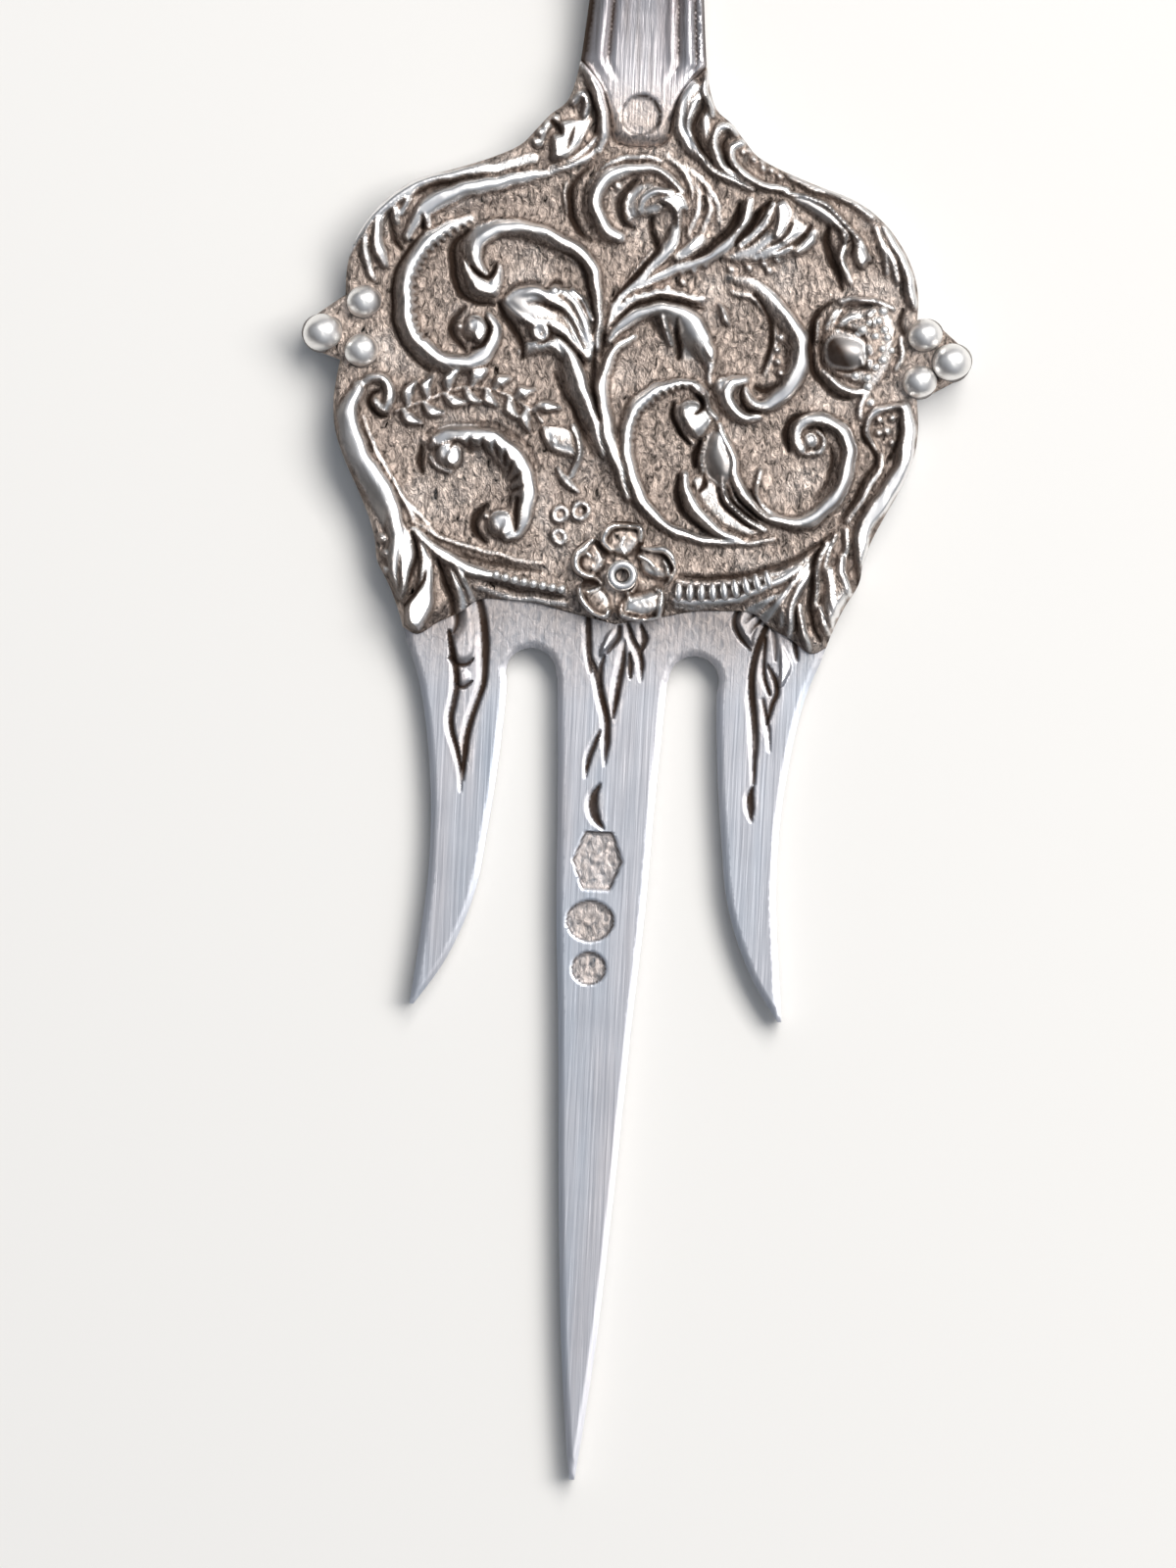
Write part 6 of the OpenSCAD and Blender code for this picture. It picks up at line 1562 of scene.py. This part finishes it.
handle_strokes = [
    ([(2.5, 7), (2.75, 14), (3.4, 28), (4.5, 42), (5.5, 51), (5.85, 57), (5.4, 62.3), (4.2, 66),
      (2.4, 68.4), (0, 69.3)],
     (60, 80, 80, 80), (25, 36, 36, 36)),
    ([(1.8, 9), (2, 15), (2.65, 28), (3.7, 42), (4.7, 51), (5, 57), (4.6, 61.6), (3.5, 64.8), (2, 66.8),
      (0, 67.6)],
     (30, 40, 40, 40), (15, 24, 24, 24)),
    ([(0, 0.2), (0, 4), (0, 8), (0, 12)], (200, 210, 130, 30), (45, 50, 40, 10)),
    ([(1.2, 0.2), (1.4, 4), (1.9, 7), (1.5, 9.6)], (140, 150, 100, 30), (42, 48, 40, 10)),
    ([(2.5, 0.2), (2.8, 2.5), (3.2, 5)], (110, 100, 30), (38, 40, 10)),
    ([(0.3, 35), (1.6, 35.4), (2.5, 37), (2.8, 39.2), (2.3, 41.4), (1.3, 42.2), (0.7, 41.5), (1.1, 40.7)],
     (40, 80, 100, 100, 90, 60), (30, 55, 65, 65, 60, 50)),
    ([(0.2, 44.4), (1.7, 44.8), (3.1, 46.4), (3.9, 49.5), (4.2, 54), (3.9, 58.5), (2.9, 61.6), (1.6, 62.8),
      (0.9, 62), (1.5, 61.2)],
     (40, 80, 110, 110, 110, 90, 60), (30, 55, 65, 65, 62, 58, 50)),
    ([(0, 46.6), (1.5, 47.6), (2.5, 50.4), (2.7, 54), (2.3, 57.6), (1.3, 60), (0, 60.8)],
     (45, 50, 50, 45), (30, 34, 34, 30)),
    ([(0, 63.4), (0, 65), (0, 66.6)], (60, 90, 90), (40, 50, 30)),
    ([(0.5, 63.4), (1, 64.8), (1.5, 66)], (50, 80, 80), (38, 46, 28)),
]
for drop in range(5):
    start, grow = 14.5 + 4 * drop, 1 - 0.1 * drop
    points = [(0, start), (0.7 * grow, start + 1), (0.6 * grow, start + 2.4), (0.15, start + 3.6)]
    handle_strokes.append((points, (30, 80 * grow, 70 * grow, 25), (30, 48, 42, 20)))
for points, wide, tall in handle_strokes:
    work.band(points, wide, tall)
    work.band([(-x, s) for x, s in points], wide, tall)
for points in ([(0, 0.5), (0, 5), (0, 11)], [(1.3, 0.5), (1.6, 5), (1.6, 9)],
               [(-1.3, 0.5), (-1.6, 5), (-1.6, 9)]):
    work.cut(points, (30, 30, 12), (16, 16, 5))
work_x, work_s = np.meshgrid(work.x, work.y)
cartouche = np.clip((1 - (work_x / 2.6) ** 2 - ((work_s - 53.7) / 7) ** 2) / 0.1, 0, 1)
border_s = [7, 14, 28, 42, 51, 57, 62, 66, 69]
border_x = [2.5, 2.75, 3.4, 4.5, 5.5, 5.85, 5.4, 4.2, 1]
inside_border = np.clip(1 - np.abs(work_x) / np.interp(work_s, border_s, border_x), 0, 1)
field = np.clip(inside_border / 0.05, 0, 1) * np.clip((work_s - 2) / 6, 0, 1)
field = field * (1 - cartouche) * (work_s < 68.5)
matting = field * np.clip(1 - work.height / 0.2, 0, 1)
work.height += matting * work.grain(0.1, 0.014, 21)
work_recess = np.clip((work.blurred(work.height, 0.4) - work.height) / 0.2, 0, 1)


def handle_half(name, up):
    """One shell, worked outside and plain inside, for the front with up 1 or the back with up -1."""
    rows, columns = 300, 97
    y = HANDLE_Y + HANDLE_L * np.sin(np.linspace(0, np.pi / 2, rows))
    y = np.minimum(y * 0.35 + 0.65 * np.linspace(HANDLE_Y, HANDLE_END, rows), HANDLE_END)
    half = np.interp(y, handle_rings[:, 0], handle_rings[:, 1])
    thick = np.interp(y, handle_rings[:, 0], handle_rings[:, 2])
    cap = np.linspace(0, np.pi / 2, 7)[1:]
    y = np.concatenate([y, HANDLE_END + 0.35 * np.sin(cap)])
    half = np.concatenate([half, half[-1] * np.maximum(np.cos(cap), 0.02)])
    thick = np.concatenate([thick, thick[-1] * np.maximum(np.cos(cap), 0.02)])
    turn = np.pi * np.arange(columns) / (columns - 1)
    normal = np.stack([np.cos(turn)[None] / half[:, None], np.sin(turn)[None] / thick[:, None]], 2)
    normal /= np.linalg.norm(normal, axis=2, keepdims=True)
    x = half[:, None] * np.cos(turn)
    plan_points = np.stack([x, np.repeat(y[:, None] - HANDLE_Y, columns, 1)], 2).reshape(-1, 2)
    relief = work.at(work.height, plan_points).reshape(len(y), columns)
    from_end = np.clip((HANDLE_END - y) / 1.5, 0, 1)[:, None]
    from_seam = np.minimum(turn, np.pi - turn)
    fade = np.clip(np.sin(turn) / 0.3, 0, 1) * from_end
    seam = SEAM_DEPTH * np.exp(-(from_seam / 0.03) ** 2) * from_end
    push = (relief - SHELL_SINK) * fade - seam
    outer = np.stack([x + normal[:, :, 0] * push, np.repeat(y[:, None], columns, 1),
                      AXIS_Z + up * (thick[:, None] * np.sin(turn) + normal[:, :, 1] * push)], 2)
    in_half = np.maximum(half - SHELL_T, 0.02)
    in_thick = np.maximum(thick - SHELL_T, 0.02)
    in_y = np.minimum(y, HANDLE_END - SHELL_T)
    inner = np.stack([in_half[:, None] * np.cos(turn), np.repeat(in_y[:, None], columns, 1),
                      AXIS_Z + up * in_thick[:, None] * np.sin(turn)], 2)
    grid = np.arange(len(y) * columns).reshape(len(y), columns)
    below = grid + grid.size
    faces = []
    for a, b, c, d in ((grid[:-1, :-1], grid[1:, :-1], grid[1:, 1:], grid[:-1, 1:]),
                       (below[:-1, 1:], below[1:, 1:], below[1:, :-1], below[:-1, :-1]),
                       (below[:-1, 0], below[1:, 0], grid[1:, 0], grid[:-1, 0]),
                       (grid[:-1, -1], grid[1:, -1], below[1:, -1], below[:-1, -1]),
                       (grid[0, :-1], grid[0, 1:], below[0, 1:], below[0, :-1]),
                       (below[-1, :-1], below[-1, 1:], grid[-1, 1:], grid[-1, :-1])):
        faces.append(np.stack([a.ravel(), b.ravel(), c.ravel(), d.ravel()], 1))
    faces = np.concatenate(faces)
    dark = work.at(work_recess, plan_points) * fade.ravel()
    seam_dark = np.tile(0.8 * np.exp(-(from_seam / 0.035) ** 2), len(y))
    values = {
        "recess": np.concatenate([np.maximum(dark, seam_dark), np.full(grid.size, 0.6)]),
        "ground": np.concatenate([0.8 * work.at(matting, plan_points), np.full(grid.size, 0.5)]),
    }
    faces = faces if up > 0 else faces[:, ::-1]
    points = np.concatenate([outer.reshape(-1, 3), inner.reshape(-1, 3)])
    return solid_mesh(name, points, faces.tolist(), values, 1.2)


handle_silver = silver("handle_silver", 0.2, (0.92, 0.90, 0.88, 1), (0.87, 0.85, 0.86, 1), 0.004, 0.05)
for node, up in (("handle_front", 1), ("handle_back", -1)):
    finish_piece(handle_half(node + "_struck", up), handle_silver, "handle_silver", node)

# Handle filling: brown resin poured hot into the closed shells, which holds the tang and stiffens the thin
# silver. It is hidden inside the handle and keeps its plain cast shape.
resin, resin_tree, resin_shader = new_material("cast_resin")
resin_place = add_node(resin_tree, "ShaderNodeTexCoord").outputs["Object"]
resin_noise = add_node(resin_tree, "ShaderNodeTexNoise", Vector=resin_place, Scale=300.0, Detail=5.0)
resin_cloud = resin_noise.outputs["Fac"]
resin_colour = mix_colour(resin_tree, resin_cloud, (0.10, 0.055, 0.025, 1), (0.20, 0.12, 0.06, 1))
resin_tree.links.new(resin_colour, resin_shader.inputs["Base Color"])
resin_rough = math_node(resin_tree, "MULTIPLY_ADD", resin_cloud, 0.3, 0.35)
resin_tree.links.new(resin_rough, resin_shader.inputs["Roughness"])
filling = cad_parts["handle_filling"]
filling.data.materials.clear()
filling.data.materials.append(resin)

# Scene: a plain pale table under a soft overhead light, with a window-like light from the upper right.
# The camera looks straight down on the head, as far back as a hand-held one would be.
TABLE_Z = -0.0002
floor_mesh = bpy.data.meshes.new("table_top")
floor_corners = [(x, y, TABLE_Z) for x, y in ((-1, -1), (1, -1), (1, 1), (-1, 1))]
floor_mesh.from_pydata(floor_corners, [], [(0, 1, 2, 3)])
floor = bpy.data.objects.new("table_top", floor_mesh)
bpy.context.scene.collection.objects.link(floor)
floor_paint, _, floor_shader = new_material("pale_table")
floor_shader.inputs["Base Color"].default_value = (0.78, 0.77, 0.75, 1)
floor_shader.inputs["Roughness"].default_value = 0.8
floor_mesh.materials.append(floor_paint)

world = bpy.data.worlds.new("studio")
bpy.context.scene.world = world
world.use_nodes = True
sky = world.node_tree
direction = add_node(sky, "ShaderNodeTexCoord").outputs["Generated"]
BRIGHT_SIDE = (0.3, 0.12, 0.8)
dotted = {"operation": "DOT_PRODUCT"}
towards = add_node(sky, "ShaderNodeVectorMath", dotted, i0=direction, i1=BRIGHT_SIDE).outputs["Value"]
brightness = add_node(sky, "ShaderNodeMapRange", Value=towards, From_Min=-0.05, From_Max=0.8)
tone = mix_colour(sky, brightness.outputs[0], (0.03, 0.03, 0.03, 1), (0.44, 0.47, 0.52, 1))
sky.links.new(tone, sky.nodes["Background"].inputs["Color"])


def studio_light(name, place, aim, size, power, colour):
    light = bpy.data.lights.new(name, "AREA")
    light.shape = "RECTANGLE"
    light.size, light.size_y = size
    light.energy = power
    light.color = colour
    lamp = bpy.data.objects.new(name, light)
    lamp.location = place
    lamp.rotation_euler = (Vector(aim) - Vector(place)).to_track_quat("-Z", "Y").to_euler()
    bpy.context.scene.collection.objects.link(lamp)


HEAD = (0, -0.005, 0)
studio_light("key_window", (0.22, 0.19, 0.44), HEAD, (0.54, 0.27), 3.6, (1, 0.97, 0.93))
studio_light("left_fill", (-0.5, 0.1, 0.4), HEAD, (0.4, 0.4), 0.06, (0.9, 0.95, 1))

CAMERA_HEIGHT = 400
FRAME_HEIGHT = 71.1
SENSOR = 36
AIM = (-0.86, -19.4)
camera = bpy.data.cameras.new("camera")
camera.sensor_fit = "AUTO"
camera.sensor_width = SENSOR
camera.lens = SENSOR * (CAMERA_HEIGHT - PLATE_TOP) / FRAME_HEIGHT
camera.clip_start = 0.01
camera.clip_end = 10
viewer = bpy.data.objects.new("camera", camera)
up = Vector((-0.0509, 0.9987, 0))
right = up.cross(Vector((0, 0, 1)))
turn = Matrix((right, up, Vector((0, 0, 1)))).transposed()
viewer.matrix_world = Matrix.Translation((AIM[0] * MM, AIM[1] * MM, CAMERA_HEIGHT * MM)) @ turn.to_4x4()
bpy.context.scene.collection.objects.link(viewer)
bpy.context.scene.camera = viewer
bpy.context.scene.view_settings.view_transform = "Standard"
